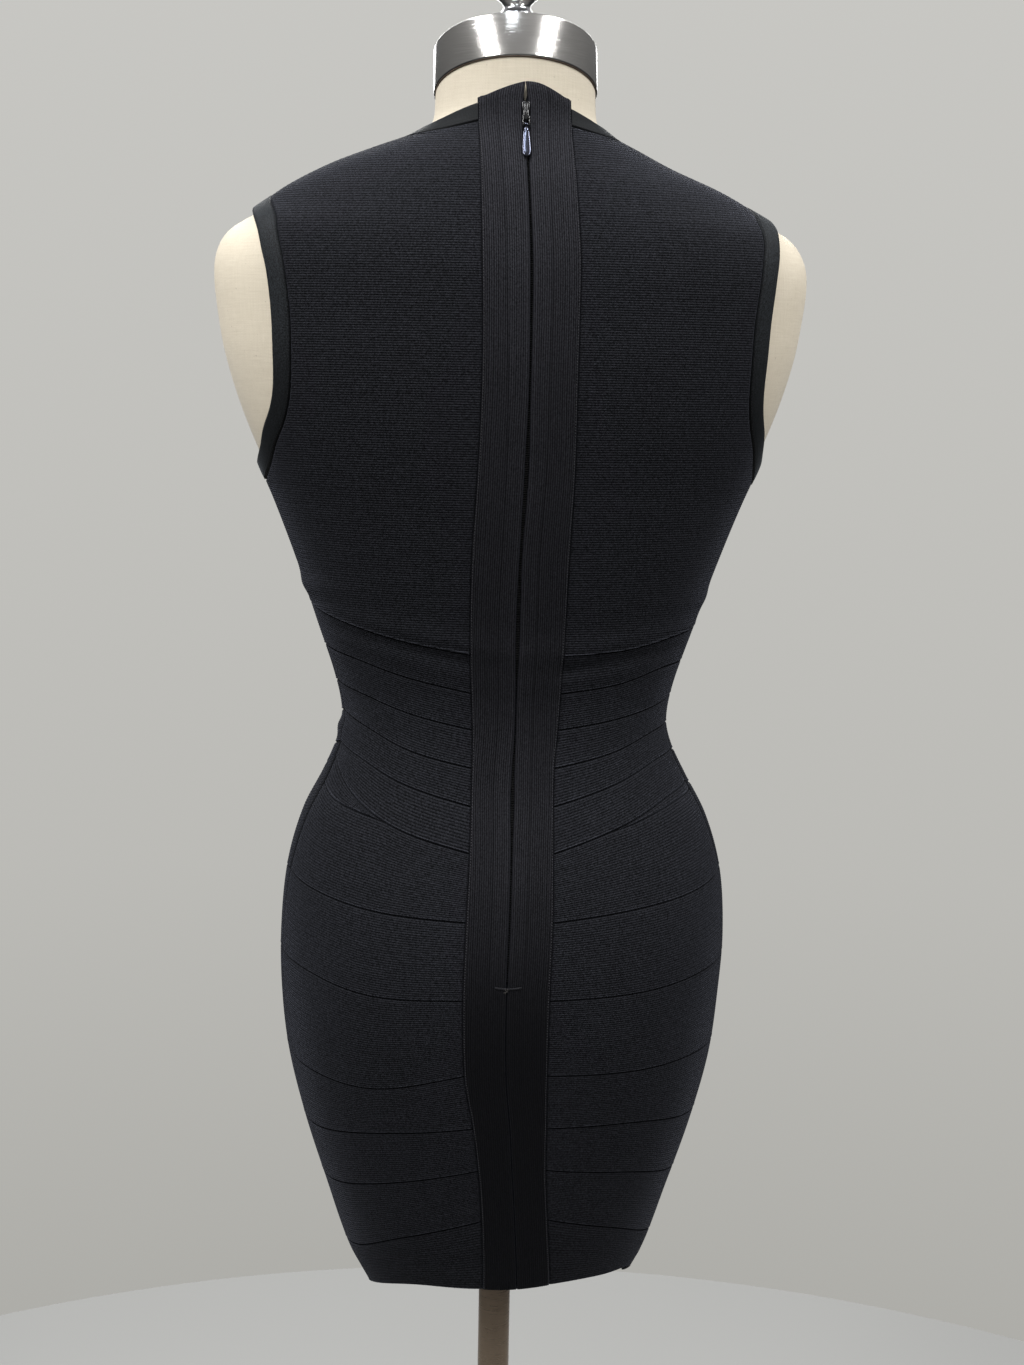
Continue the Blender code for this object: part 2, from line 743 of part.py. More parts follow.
def neckband():
    """One band round the neck, from the strip's left edge to its right edge."""
    rows = []
    for part in NECKBAND_ROWS:
        distance = NECKBAND_WIDTH * (1 - part)
        row = []
        for column in range(BACK_COLUMNS + 1):
            row.append(back_neck_place(1, column / BACK_COLUMNS, distance))
        for column in range(1, 2 * FRONT_COLUMNS):
            row.append(front_neck_place(column / (2 * FRONT_COLUMNS), distance))
        for column in range(BACK_COLUMNS, -1, -1):
            angle, height = back_neck_place(-1, column / BACK_COLUMNS, distance)
            row.append((math.pi - angle, height))
        ridge = RIDGE if part == NECKBAND_ROWS[-1] else 0.0
        rows.append([(angle, height, ridge) for angle, height in row])
    cloth_wall("neckband", rows, WALL, BINDING_CLOTH)


def armhole_binding(name, side):
    back = armhole_edge(side, "back")
    front = armhole_edge(side, "front")
    loop = back + front[-2:0:-1]
    rows = []
    for part in BINDING_ROWS:
        row = []
        for place in loop:
            angle, height = off_the_armhole(place, BINDING_WIDTH * part)
            row.append((turned(side, angle), height, RIDGE if part == 0 else 0.0))
        rows.append(row)
    cloth_wall(name, rows, BINDING_WALL, BINDING_CLOTH, looped=True)


def ring_mesh(name, rings):
    """A closed solid through rings of points, with flat ends."""
    bm = bmesh.new()
    loops = [[bm.verts.new(point) for point in ring] for ring in rings]
    count = len(loops[0])
    for lower, upper in zip(loops, loops[1:]):
        for column in range(count):
            following = (column + 1) % count
            bm.faces.new((lower[column], lower[following], upper[following], upper[column]))
    bm.faces.new(loops[0])
    bm.faces.new(loops[-1])
    return mesh_from(name, bm)


def turned_mesh(name, profile):
    """A round solid from its profile of (height, radius), with flat ends."""
    rings = []
    for height, radius in profile:
        ring = []
        for side in range(LATHE_SIDES):
            angle = 2 * math.pi * side / LATHE_SIDES
            ring.append((radius * math.cos(angle), radius * math.sin(angle), height))
        rings.append(ring)
    return ring_mesh(name, rings)


def form_torso():
    """The linen torso with its shoulder stumps and neck, just inside the cloth."""
    angles = []
    for column in range(FORM_COLUMNS):
        even = 2 * math.pi * column / FORM_COLUMNS
        angles.append(math.atan2(ANGLE_CROWDING * math.sin(even), math.cos(even)))

    def inside(angle, height, inset=0.0):
        return figure_point(angle, height) - figure_normal(angle, height) * (EASE + inset)

    def neck_end(angle):
        point = Vector((0, 0, 0))
        height = NECK_TOP
        for _ in range(4):
            point = inside(angle, height)
            height += NECK_TOP + point.y * math.tan(NECK_TILT) - SEAM_GAP / 2 - point.z
        return height

    rings = []
    flat = [inside(angle, FORM_BOTTOM, FORM_BOTTOM_ROUND) for angle in angles]
    rings.append([(point.x, point.y, FORM_BOTTOM) for point in flat])
    for height in FORM_HEIGHTS:
        rings.append([inside(angle, height) for angle in angles])
    for row in range(1, NECK_ROWS + 1):
        ring = []
        for angle in angles:
            height = FORM_HEIGHTS[-1] + (neck_end(angle) - FORM_HEIGHTS[-1]) * row / NECK_ROWS
            ring.append(inside(angle, height))
        rings.append(ring)
    new_object("form_torso", ring_mesh("form_torso", rings), LINEN)


def form_neck_cap():
    """The steel cap on the neck, tilted forward with it."""
    profile = [(0, CAP_RADIUS), (CAP_HEIGHT - CAP_ROUND, CAP_RADIUS),
               (CAP_HEIGHT, CAP_RADIUS - CAP_ROUND)]
    cap = new_object("form_neck_cap", turned_mesh("form_neck_cap", profile), STEEL)
    cap.rotation_euler = (NECK_TILT, 0, 0)
    cap.location = (0, 0, NECK_TOP + SEAM_GAP / 2 / math.cos(NECK_TILT))


def form_finial():
    """The chrome knob, cut below to sit on the cap's sloping top."""
    finial = new_object("form_finial", turned_mesh("form_finial", FINIAL_PROFILE), CHROME)
    cap_top = NECK_TOP + (CAP_HEIGHT + SEAM_GAP * 1.5) / math.cos(NECK_TILT)
    block = box_mesh("finial_cutter", (-CAP_RADIUS, -CAP_RADIUS, -CAP_RADIUS),
                     (CAP_RADIUS, CAP_RADIUS, 0))
    cutter = new_object("finial_cutter", block, CHROME)
    cutter.rotation_euler = (NECK_TILT, 0, 0)
    cutter.location = (0, 0, cap_top)
    cutter.hide_render = True
    cutter.display_type = "WIRE"
    cut = finial.modifiers.new("seat", "BOOLEAN")
    cut.object = cutter
    cut.operation = "DIFFERENCE"


def stand():
    """The pole in its hub, and the round base plate."""
    bore = POLE_RADIUS + SEAM_GAP
    base = [(BASE_HEIGHT, bore), (BASE_HEIGHT + HUB_HEIGHT, bore),
            (BASE_HEIGHT + HUB_HEIGHT, HUB_RADIUS - BASE_ROUND),
            (BASE_HEIGHT + HUB_HEIGHT - BASE_ROUND, HUB_RADIUS),
            (BASE_HEIGHT + HUB_FOOT_RISE, HUB_RADIUS),
            (BASE_HEIGHT, HUB_RADIUS + HUB_FOOT),
            (BASE_HEIGHT, BASE_RADIUS - BASE_ROUND),
            (BASE_HEIGHT - BASE_ROUND, BASE_RADIUS),
            (0, BASE_RADIUS)]
    new_object("stand_base", turned_mesh("stand_base", base), IRON)
    pole = [(BASE_HEIGHT + SEAM_GAP, POLE_RADIUS), (FORM_BOTTOM - SEAM_GAP, POLE_RADIUS)]
    new_object("stand_pole", turned_mesh("stand_pole", pole), POLE_STEEL)


def box_mesh(name, low, high):
    bm = bmesh.new()
    bmesh.ops.create_cube(bm, size=1.0)
    size = [high[axis] - low[axis] for axis in range(3)]
    middle = [(high[axis] + low[axis]) / 2 for axis in range(3)]
    bmesh.ops.scale(bm, vec=size, verts=bm.verts)
    bmesh.ops.translate(bm, vec=middle, verts=bm.verts)
    return mesh_from(name, bm)


def rod_mesh(name, radius, length, sides=16):
    """A round rod along X, about the origin."""
    rings = []
    for end in (-length / 2, length / 2):
        ring = []
        for side in range(sides):
            angle = 2 * math.pi * side / sides
            ring.append((end, radius * math.cos(angle), radius * math.sin(angle)))
        rings.append(ring)
    return ring_mesh(name, rings)


def join_shape(body, name, mesh, placing, operation):
    """Unite a shape with a body, or cut it away, and keep the shape as a hidden guide."""
    shape = new_object(name, mesh, BLACK_METAL)
    shape.matrix_world = placing
    shape.hide_render = True
    shape.display_type = "WIRE"
    step = body.modifiers.new(name, "BOOLEAN")
    step.object = shape
    step.operation = operation


def slider_placing():
    """The slider's place on the strip: X across, Y outward, Z up the cloth."""
    angle = back_angle(smooth(STRIP, 1, SLIDER_HEIGHT), SLIDER_HEIGHT)
    normal = figure_normal(angle, SLIDER_HEIGHT)
    outward = Vector((0, normal.y, normal.z)).normalized()
    across = Vector((1, 0, 0))
    up = across.cross(outward)
    origin = figure_point(angle, SLIDER_HEIGHT) + outward * STRIP_WALL
    placing = Matrix.Identity(4)
    for column, axis in enumerate((across, outward, up, origin)):
        for row in range(3):
            placing[row][column] = axis[row]
    return placing


def zip_slider(placing):
    """The slider's body with two ears that hold the pull tab's pin."""
    half_width = SLIDER_WIDTH / 2
    half_length = SLIDER_LENGTH / 2
    top = SLIDER_CLEARANCE + SLIDER_THICKNESS
    body = new_object("zip_slider", box_mesh(
        "zip_slider", (-half_width, SLIDER_CLEARANCE, -half_length), (half_width, top, half_length)),
        BLACK_METAL)
    body.matrix_world = placing
    inner = EAR_SPACING / 2
    for side in (-1, 1):
        near, far = sorted((side * inner, side * (inner + EAR_WIDTH)))
        ear = box_mesh("ear", (near, PIN_LIFT - EAR_RADIUS, -PIN_DROP - EAR_RADIUS),
                       (far, PIN_LIFT + EAR_RADIUS, TINY - half_length))
        join_shape(body, f"ear_guide_{side + 2}", ear, placing, "UNION")
    pin = rod_mesh("pin", PIN_RADIUS, EAR_SPACING + EAR_WIDTH)
    pin_placing = placing @ Matrix.Translation((0, PIN_LIFT, -PIN_DROP))
    join_shape(body, "pin_guide", pin, pin_placing, "UNION")


def zip_pull_tab(placing):
    """The teardrop tab, whose barrel turns on the slider's pin."""
    start = TAB_OUTLINE[0][0]
    end = TAB_OUTLINE[-1][0]
    outline = []
    for step in range(TAB_STEPS + 1):
        below = start + (end - start) * step / TAB_STEPS
        outline.append((smooth(TAB_OUTLINE, 1, below), -below))
    outline += [(-half_width, down) for half_width, down in outline[::-1]]
    half = TAB_THICKNESS / 2
    rings = [[(x, y, z) for x, z in outline] for y in (-half, half)]
    tab = new_object("zip_pull_tab", ring_mesh("zip_pull_tab", rings), BLACK_METAL)
    pin = placing @ Vector((0, PIN_LIFT, -PIN_DROP))
    hanging = Matrix.Translation(pin) @ Matrix.Rotation(TAB_HANG, 4, "X")
    tab.matrix_world = hanging
    barrel = rod_mesh("barrel", BARREL_RADIUS, BARREL_WIDTH)
    join_shape(tab, "barrel_guide", barrel, hanging, "UNION")
    bore = rod_mesh("bore", BARREL_BORE, BARREL_WIDTH * 2)
    join_shape(tab, "bore_guide", bore, hanging, "DIFFERENCE")


def dress():
    for side, name in ((1, "left"), (-1, "right")):
        for band in range(SKIRT_BANDS):
            back_band(f"back_skirt_band_{band + 1}_{name}", SKIRT_BANDS - 1 - band, side, SKIRT_ROWS)
        for band in range(WAIST_BANDS):
            lower = SKIRT_BANDS + WAIST_BANDS - 1 - band
            back_band(f"back_waist_band_{band + 1}_{name}", lower, side, WAIST_ROWS)
        back_bodice(f"back_bodice_{name}", side)
        back_strip(f"back_strip_{name}", side)
        armhole_binding(f"armhole_binding_{name}", side)
    for band in range(SKIRT_BANDS):
        front_band(f"front_skirt_band_{band + 1}", SKIRT_BANDS - 1 - band, SKIRT_ROWS)
    for band in range(WAIST_BANDS):
        lower = SKIRT_BANDS + WAIST_BANDS - 1 - band
        front_band(f"front_waist_band_{band + 1}", lower, WAIST_ROWS)
    front_bodice("front_bodice")
    neckband()


def main():
    clear_scene()
    dress()
    placing = slider_placing()
    zip_slider(placing)
    zip_pull_tab(placing)
    form_torso()
    form_neck_cap()
    form_finial()
    stand()


main()
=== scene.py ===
import math

import bmesh
import bpy
import numpy as np
from mathutils import Matrix, Vector


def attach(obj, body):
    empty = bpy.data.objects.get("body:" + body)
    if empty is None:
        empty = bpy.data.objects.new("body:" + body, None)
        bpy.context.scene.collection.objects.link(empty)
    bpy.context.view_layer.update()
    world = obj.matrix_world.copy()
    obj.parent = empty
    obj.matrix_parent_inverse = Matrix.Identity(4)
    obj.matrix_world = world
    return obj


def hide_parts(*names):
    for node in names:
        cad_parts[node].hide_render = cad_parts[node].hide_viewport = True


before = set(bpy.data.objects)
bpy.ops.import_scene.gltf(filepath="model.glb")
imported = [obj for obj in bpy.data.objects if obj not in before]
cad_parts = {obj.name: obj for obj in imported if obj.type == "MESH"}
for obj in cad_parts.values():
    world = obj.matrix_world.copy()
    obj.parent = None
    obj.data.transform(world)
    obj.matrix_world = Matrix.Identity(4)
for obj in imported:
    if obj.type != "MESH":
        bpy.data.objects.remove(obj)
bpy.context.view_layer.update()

# Cloth sizes, in metres
WALL = 0.0016
STRIP_WALL = 0.0020
BINDING_WALL = 0.0020
SEAM_GAP = 0.0003
EASE = 0.0026
BINDING_WIDTH = 0.0150
NECKBAND_WIDTH = 0.0135

# The figure's level sections: half width, depth behind and in front, squareness, and how far
# the middle lies to the wearer's left of the pole
SECTIONS = [
    # height, half_width, back, front, squareness, aside
    (0.700, 0.0865, 0.0800, 0.0900, 2.10, 0.0000),
    (0.722, 0.0949, 0.0850, 0.0940, 2.10, 0.0000),
    (0.760, 0.1141, 0.0950, 0.1000, 2.15, 0.0000),
    (0.808, 0.1302, 0.1060, 0.1050, 2.20, 0.0000),
    (0.857, 0.1450, 0.1150, 0.1090, 2.25, 0.0000),
    (0.906, 0.1563, 0.1210, 0.1110, 2.30, 0.0000),
    (0.952, 0.1613, 0.1240, 0.1120, 2.30, 0.0000),
    (0.998, 0.1627, 0.1220, 0.1120, 2.30, -0.0010),
    (1.045, 0.1585, 0.1130, 0.1100, 2.25, -0.0015),
    (1.083, 0.1474, 0.1010, 0.1070, 2.20, -0.0012),
    (1.113, 0.1318, 0.0910, 0.1030, 2.15, -0.0008),
    (1.136, 0.1215, 0.0860, 0.1000, 2.10, 0.0000),
    (1.155, 0.1175, 0.0830, 0.0980, 2.10, 0.0000),
    (1.181, 0.1216, 0.0820, 0.0990, 2.10, 0.0000),
    (1.225, 0.1359, 0.0860, 0.1050, 2.15, 0.0000),
    (1.269, 0.1507, 0.0920, 0.1160, 2.20, 0.0000),
    (1.313, 0.1674, 0.0980, 0.1260, 2.20, 0.0000),
    (1.342, 0.1800, 0.1010, 0.1290, 2.20, 0.0000),
    (1.378, 0.1944, 0.1040, 0.1260, 2.20, 0.0000),
    (1.413, 0.2050, 0.1050, 0.1180, 2.20, 0.0000),
    (1.441, 0.2100, 0.1040, 0.1090, 2.20, 0.0000),
    (1.469, 0.2127, 0.1020, 0.1000, 2.20, 0.0000),
    (1.487, 0.2097, 0.0990, 0.0940, 2.20, 0.0004),
    (1.502, 0.1990, 0.0950, 0.0890, 2.20, 0.0010),
    (1.515, 0.1765, 0.0910, 0.0840, 2.15, 0.0022),
    (1.530, 0.1518, 0.0850, 0.0780, 2.10, 0.0050),
    (1.545, 0.1195, 0.0770, 0.0710, 2.05, 0.0080),
    (1.556, 0.0943, 0.0700, 0.0650, 2.00, 0.0048),
    (1.566, 0.0710, 0.0635, 0.0605, 2.00, 0.0010),
    (1.575, 0.0612, 0.0595, 0.0575, 2.00, 0.0000),
    (1.590, 0.0588, 0.0565, 0.0555, 2.00, 0.0000),
    (1.640, 0.0580, 0.0545, 0.0545, 2.00, 0.0000),
]
BUST_ASIDE = 0.072
BUST_HEIGHT = 1.335
BUST_SPREAD = 0.055
BUST_FULLNESS = 0.008

# Band seams from the hem up, each with its height at the strip, a third and two thirds of
# the way to the side, at the side, and at the middle of the front
SEAMS = [
    # strip, left_third, left_two_thirds, left_side, right_third, right_two_thirds, right_side, front
    (0.7500, 0.7440, 0.7330, 0.7210, 0.7475, 0.7440, 0.7260, 0.7250),
    (0.8075, 0.7870, 0.7665, 0.7585, 0.7920, 0.7750, 0.7640, 0.7740),
    (0.8485, 0.8325, 0.8185, 0.8120, 0.8390, 0.8255, 0.8160, 0.8230),
    (0.8815, 0.8720, 0.8615, 0.8565, 0.8790, 0.8700, 0.8640, 0.8700),
    (0.9215, 0.9060, 0.9070, 0.9110, 0.9195, 0.9200, 0.9180, 0.9180),
    (0.9760, 0.9745, 0.9820, 0.9855, 0.9775, 0.9820, 0.9850, 0.9740),
    (1.0295, 1.0325, 1.0390, 1.0450, 1.0355, 1.0410, 1.0470, 1.0310),
    (1.0750, 1.0885, 1.1080, 1.1280, 1.0910, 1.1055, 1.1105, 1.0850),
    (1.1060, 1.1175, 1.1310, 1.1380, 1.1185, 1.1305, 1.1340, 1.1140),
    (1.1320, 1.1410, 1.1535, 1.1615, 1.1400, 1.1500, 1.1535, 1.1430),
    (1.1585, 1.1670, 1.1775, 1.1830, 1.1635, 1.1695, 1.1750, 1.1720),
    (1.1845, 1.1935, 1.2040, 1.2090, 1.1895, 1.1990, 1.2000, 1.2010),
    (1.2120, 1.2200, 1.2310, 1.2405, 1.2145, 1.2220, 1.2260, 1.2320),
]
SKIRT_BANDS = 7
WAIST_BANDS = 5
# The second seam in the top skirt band, which runs below the lowest waist seam to the side
WEDGE_DEPTH = {
    # degrees behind the side, depth below the seam
    1: [(6, 0.0221), (20, 0.0144), (29, 0.0080), (36, 0.0033), (42, 0.0)],
    -1: [(10, 0.0058), (17, 0.0056), (29, 0.0049), (54, 0.0)],
}

STRIP = [
    # height, centre, half_width
    (0.700, -0.0105, 0.0240),
    (0.748, -0.0103, 0.0241),
    (0.805, -0.0072, 0.0233),
    (0.846, -0.0042, 0.0236),
    (0.883, -0.0015, 0.0257),
    (0.921, 0.0020, 0.0287),
    (0.976, 0.0028, 0.0298),
    (1.030, 0.0010, 0.0299),
    (1.076, -0.0003, 0.0289),
    (1.132, -0.0014, 0.0285),
    (1.158, -0.0026, 0.0295),
    (1.212, -0.0028, 0.0321),
    (1.279, -0.0034, 0.0332),
    (1.340, -0.0058, 0.0327),
    (1.393, -0.0066, 0.0320),
    (1.440, -0.0068, 0.0322),
    (1.480, -0.0065, 0.0328),
    (1.525, -0.0050, 0.0320),
    (1.567, -0.0036, 0.0312),
    (1.620, -0.0030, 0.0300),
]
STRIP_TOP_EDGE = 1.5875
STRIP_TOP_MIDDLE = 1.5985
ZIP_END = 0.986
# The slit between the strip's halves: how wide it stands open
SLIT = [
    # height, width
    (0.986, 0.0010),
    (1.012, 0.0014),
    (1.078, 0.0014),
    (1.111, 0.0027),
    (1.145, 0.0014),
    (1.180, 0.0007),
    (1.216, 0.0027),
    (1.251, 0.0027),
    (1.286, 0.0020),
    (1.320, 0.0027),
    (1.354, 0.0027),
    (1.387, 0.0014),
    (1.420, 0.0014),
    (1.470, 0.0020),
    (1.518, 0.0014),
    (1.552, 0.0020),
    (1.572, 0.0028),
    (1.584, 0.0030),
    (1.5870, 0.0032),
    (1.5930, 0.0012),
    (1.5950, 0.0003),
    (1.602, 0.0003),
]
# The pressed band beside the slit: how far the line of stitches lies from the slit
PLACKET = [
    # height, left, right
    (0.986, 0.0120, 0.0110),
    (1.248, 0.0120, 0.0114),
    (1.330, 0.0120, 0.0118),
    (1.443, 0.0150, 0.0128),
    (1.600, 0.0172, 0.0140),
]
# How far the strip's top edge bows above a straight line, left and right
STRIP_TOP_BOW = {1: 0.0008, -1: 0.0026}

SIDE_SEAM = [
    # height, degrees_behind
    (0.700, 9.0),
    (1.000, 10.0),
    (1.120, 10.0),
    (1.220, 6.0),
    (1.290, 1.5),
    (1.320, 0.0),
]
ARMHOLE = [
    # height, behind, before
    (1.3390, 0.0, 0.0),
    (1.3420, 5.5, 6.0),
    (1.3510, 10.7, 12.0),
    (1.3640, 14.4, 16.4),
    (1.3800, 18.3, 20.2),
    (1.4000, 20.4, 22.7),
    (1.4300, 21.2, 24.1),
    (1.4600, 20.7, 23.6),
    (1.4800, 19.2, 21.6),
    (1.4985, 15.8, 17.2),
    (1.5085, 9.9, 10.6),
    (1.5145, 0.0, 0.0),
]
ARMHOLE_MIDDLE = 1.427
ARMHOLE_SHIFT = 0.060
NECK_SIDE = 1.5695
NECK_BACK_RISE = 0.0190
NECK_FRONT_DROP = 0.0350
NECK_CURVE = 1.8
ANGLE_CROWDING = 0.7

# Soft folds: the waist, the free hem, and single creases on a face
WAIST_FOLD = 0.0013
WAIST_FOLD_SPREAD = 0.0080
FOLD_SPACING = 0.020
FOLD_ECHO = 0.45
FOLD_REACH = math.radians(82)
HEM_WAVE = 0.0018
HEM_WAVES = 5
HEM_FREE = 0.800
CREASES = [
    # angle, height, reach_round, tilt, lift, spread: degrees and metres, tilt in metres a degree
    (6, 1.2530, 18, 0.00000, 0.0018, 0.0070),
    (176, 1.2460, 18, 0.00000, 0.0012, 0.0070),
    (2, 1.1460, 12, 0.00000, 0.0022, 0.0060),
    (256, 1.2350, 34, 0.00006, 0.0016, 0.0075),
    (284, 1.2160, 30, -0.00005, 0.0012, 0.0065),
    (236, 1.1960, 22, 0.00012, 0.0009, 0.0060),
    (318, 1.1900, 26, -0.00010, 0.0011, 0.0060),
    (232, 1.2900, 14, 0.00060, 0.0010, 0.0080),
    (308, 1.2930, 14, -0.00055, 0.0012, 0.0080),
    (212, 1.3260, 10, 0.00110, 0.0010, 0.0070),
    (330, 1.3240, 10, -0.00120, 0.0011, 0.0070),
    (250, 1.0980, 24, 0.00016, 0.0008, 0.0060),
    (296, 1.1040, 20, -0.00020, 0.0009, 0.0055),
]
# The trough below the top waist seam: how far below it, how deep and how wide, left and right
TROUGH = {1: (0.0122, 0.0010, 0.0045), -1: (0.0134, 0.0015, 0.0048)}

# The knit
RIB_PITCH = 0.00165
STRIP_RIB_PITCH = 0.00150
STRIP_RIBS = 21
RIB_HEIGHT = 0.00022
LOOP_PITCH = 0.0009
ROWS_A_RIB = 4
EDGE_SOFT = 0.00055
EDGE_DEPTH = 0.50
RIDGE = 0.0004
BOLD_RIDGE = 0.0006

# The photograph's frame and camera
IMAGE_WIDTH = 1024
IMAGE_HEIGHT = 1365
FOCAL_PIXELS = 2000
SENSOR = 36.0
EYE_DISTANCE = 1.45
EYE_HEIGHT = 1.42
EYE_SWING = math.radians(3.5)
POLE_PIXEL = 505
PITCH_DOWN = math.radians(9.44)
ROLL = math.radians(1.05)

# A small step or length
TINY = 1e-4
# How long a row of a band is on the back and the front, and how many columns it has
BACK_ROW = 0.14
FRONT_ROW = 0.36
BACK_COLUMNS = 18
FRONT_COLUMNS = 44
# Metres round the figure for each radian, nearly
METRES_A_RADIAN = 0.14
# The plain inner side of a bodice: how far apart its rows lie and how far it runs on under seams
INNER_ROWS = 0.007
INNER_REACH = 0.0004
# How much painted shade darkens two front bands towards the side seams
SIDE_PAINTED_SHADE = 0.8


# The figure's surface

def smooth(knots, column, at):
    """Read one column of a table at many places, on a smooth curve through its rows."""
    knots = np.asarray(knots, float)
    at = np.asarray(at, float)
    place = knots[:, 0]
    value = knots[:, column]
    row = np.clip(np.searchsorted(place, at) - 1, 0, len(place) - 2)
    before = np.maximum(row - 1, 0)
    after = np.minimum(row + 2, len(place) - 1)
    span = place[row + 1] - place[row]
    slope_low = (value[row + 1] - value[before]) / (place[row + 1] - place[before]) * span
    slope_high = (value[after] - value[row]) / (place[after] - place[row]) * span
    t = np.clip((at - place[row]) / span, 0, 1)
    return ((2 * t ** 3 - 3 * t ** 2 + 1) * value[row] + (t ** 3 - 2 * t ** 2 + t) * slope_low
            + (3 * t ** 2 - 2 * t ** 3) * value[row + 1] + (t ** 3 - t ** 2) * slope_high)


def figure_points(angle, height):
    """The figure's surface at angles round from +X and heights."""
    angle, height = np.broadcast_arrays(np.asarray(angle, float), np.asarray(height, float))
    half_width = smooth(SECTIONS, 1, height)
    depth = np.where(np.sin(angle) > 0, smooth(SECTIONS, 2, height), smooth(SECTIONS, 3, height))
    power = smooth(SECTIONS, 4, height)
    across = np.abs(np.cos(angle)) / half_width
    along = np.abs(np.sin(angle)) / depth
    reach = (across ** power + along ** power) ** (-1 / power)
    x = reach * np.cos(angle) + smooth(SECTIONS, 5, height)
    y = reach * np.sin(angle)
    fullness = np.zeros_like(x)
    for side in (-1, 1):
        beside = (x - side * BUST_ASIDE) / BUST_SPREAD
        above = (height - BUST_HEIGHT) / BUST_SPREAD
        fullness += BUST_FULLNESS * np.exp(-beside ** 2 - above ** 2)
    y = y + np.where(y < 0, fullness * np.sin(angle), 0)
    return np.stack((x, y, height), -1)


def figure_slopes(angle, height):
    """How the surface runs on with the angle and with the height."""
    round_way = figure_points(angle + TINY, height) - figure_points(angle - TINY, height)
    up_way = figure_points(angle, height + TINY) - figure_points(angle, height - TINY)
    return round_way / (2 * TINY), up_way / (2 * TINY)


def unit(vectors):
    return vectors / np.linalg.norm(vectors, axis=-1, keepdims=True)


def figure_normals(angle, height):
    round_way, up_way = figure_slopes(angle, height)
    return unit(np.cross(round_way, up_way))


def walk(angle, height, heading, distance, steps=4):
    """Go a distance over the figure's surface, along headings laid on it."""
    for _ in range(steps):
        round_way, up_way = figure_slopes(angle, height)
        round_square = (round_way ** 2).sum(-1)
        up_square = (up_way ** 2).sum(-1)
        mixed = (round_way * up_way).sum(-1)
        spread = round_square * up_square - mixed ** 2
        along_round = (heading * round_way).sum(-1)
        along_up = (heading * up_way).sum(-1)
        turn = (along_round * up_square - along_up * mixed) / spread
        climb = (along_up * round_square - along_round * mixed) / spread
        moved = np.linalg.norm(round_way * turn[..., None] + up_way * climb[..., None], axis=-1)
        angle = angle + turn * distance / steps / moved
        height = height + climb * distance / steps / moved
    return angle, height


def turned(side, angle):
    """The same place on the wearer's left (side 1) or right (side -1)."""
    return angle if side > 0 else math.pi - angle


def crowd(angle):
    """An angle on a scale whose even steps lie closer together at the narrow sides."""
    return np.arctan2(np.sin(angle) / ANGLE_CROWDING, np.cos(angle))


def between(start, end, share):
    """An angle a share of the way from one to another, both on the left."""
    even = crowd(start) * (1 - share) + crowd(end) * share
    return np.arctan2(ANGLE_CROWDING * np.sin(even), np.cos(even))


def back_angle(aside, height):
    """The angle of the back surface at a distance aside of the pole."""
    half_width = smooth(SECTIONS, 1, height)
    depth = smooth(SECTIONS, 2, height)
    power = smooth(SECTIONS, 4, height)
    across = aside - smooth(SECTIONS, 5, height)
    behind = depth * (1 - (np.abs(across) / half_width) ** power) ** (1 / power)
    return np.arctan2(behind, across)


def strip_edge(side, height, gap=0.0):
    """The strip's edge as an angle on the left, or a place a gap outside it."""
    centre = smooth(STRIP, 1, height)
    half_width = smooth(STRIP, 2, height)
    return turned(side, back_angle(centre + side * (half_width + gap), height))


def side_seam(height):
    return np.radians(smooth(SIDE_SEAM, 1, np.minimum(height, SIDE_SEAM[-1][0])))


def gap_angle(height, gap):
    return gap / figure_points(0.0, height)[..., 0]


def seam_height(row, side, share):
    """A seam's height on the back, from the strip at 0 to the side at 1."""
    seam = SEAMS[row]
    first = 1 if side > 0 else 4
    knots = [(0, seam[0]), (1 / 3, seam[first]), (2 / 3, seam[first + 1]), (1, seam[first + 2])]
    return smooth(knots, 1, share)


def front_seam_height(row, share):
    """A seam's height on the front, from the left side at 0 to the right side at 1."""
    seam = SEAMS[row]
    ends = seam[3] * (1 - share) + seam[6] * share
    return ends + (seam[7] - (seam[3] + seam[6]) / 2) * np.sin(math.pi * share)


def ease(share):
    """A soft step from 0 to 1."""
    share = np.clip(share, 0, 1)
    return share * share * (3 - 2 * share)


def folds(angle, height):
    """How far the cloth stands off the figure: waist folds, hem waves and single creases."""
    angle, height = np.broadcast_arrays(np.asarray(angle, float), np.asarray(height, float))
    share = np.minimum(np.abs(math.pi / 2 - angle) / FOLD_REACH, 1.0)
    last = len(SEAMS) - 1
    top = np.where(np.cos(angle) > 0, seam_height(last, 1, share), seam_height(last, -1, share))
    waist = np.zeros_like(height)
    for drop, strength in ((0.0, 1.0), (FOLD_SPACING, FOLD_ECHO)):
        away = (height - top + drop) / WAIST_FOLD_SPREAD
        waist = waist + WAIST_FOLD * strength * (1 - share ** 4) * np.exp(-away ** 2)
    for side, (drop, depth, spread) in TROUGH.items():
        away = (height - top + drop) / spread
        there = depth * np.exp(-away ** 2) * (1 - share ** 3) * ease((share - 0.22) / 0.05)
        waist = waist - np.where(side * np.cos(angle) > 0, there, 0.0)
    lift = np.where(np.sin(angle) > 0, waist, 0.0)
    free = np.clip((HEM_FREE - height) / (HEM_FREE - SEAMS[0][0]), 0, 1)
    lift = lift + HEM_WAVE * free ** 2 * np.sin(HEM_WAVES * angle)
    for middle, level, reach, tilt, depth, spread in CREASES:
        turn = np.degrees((angle - math.radians(middle) + math.pi) % (2 * math.pi) - math.pi)
        away = (height - level - tilt * turn) / spread
        lift = lift + depth * np.exp(-away ** 2 - (turn / reach) ** 2)
    return lift


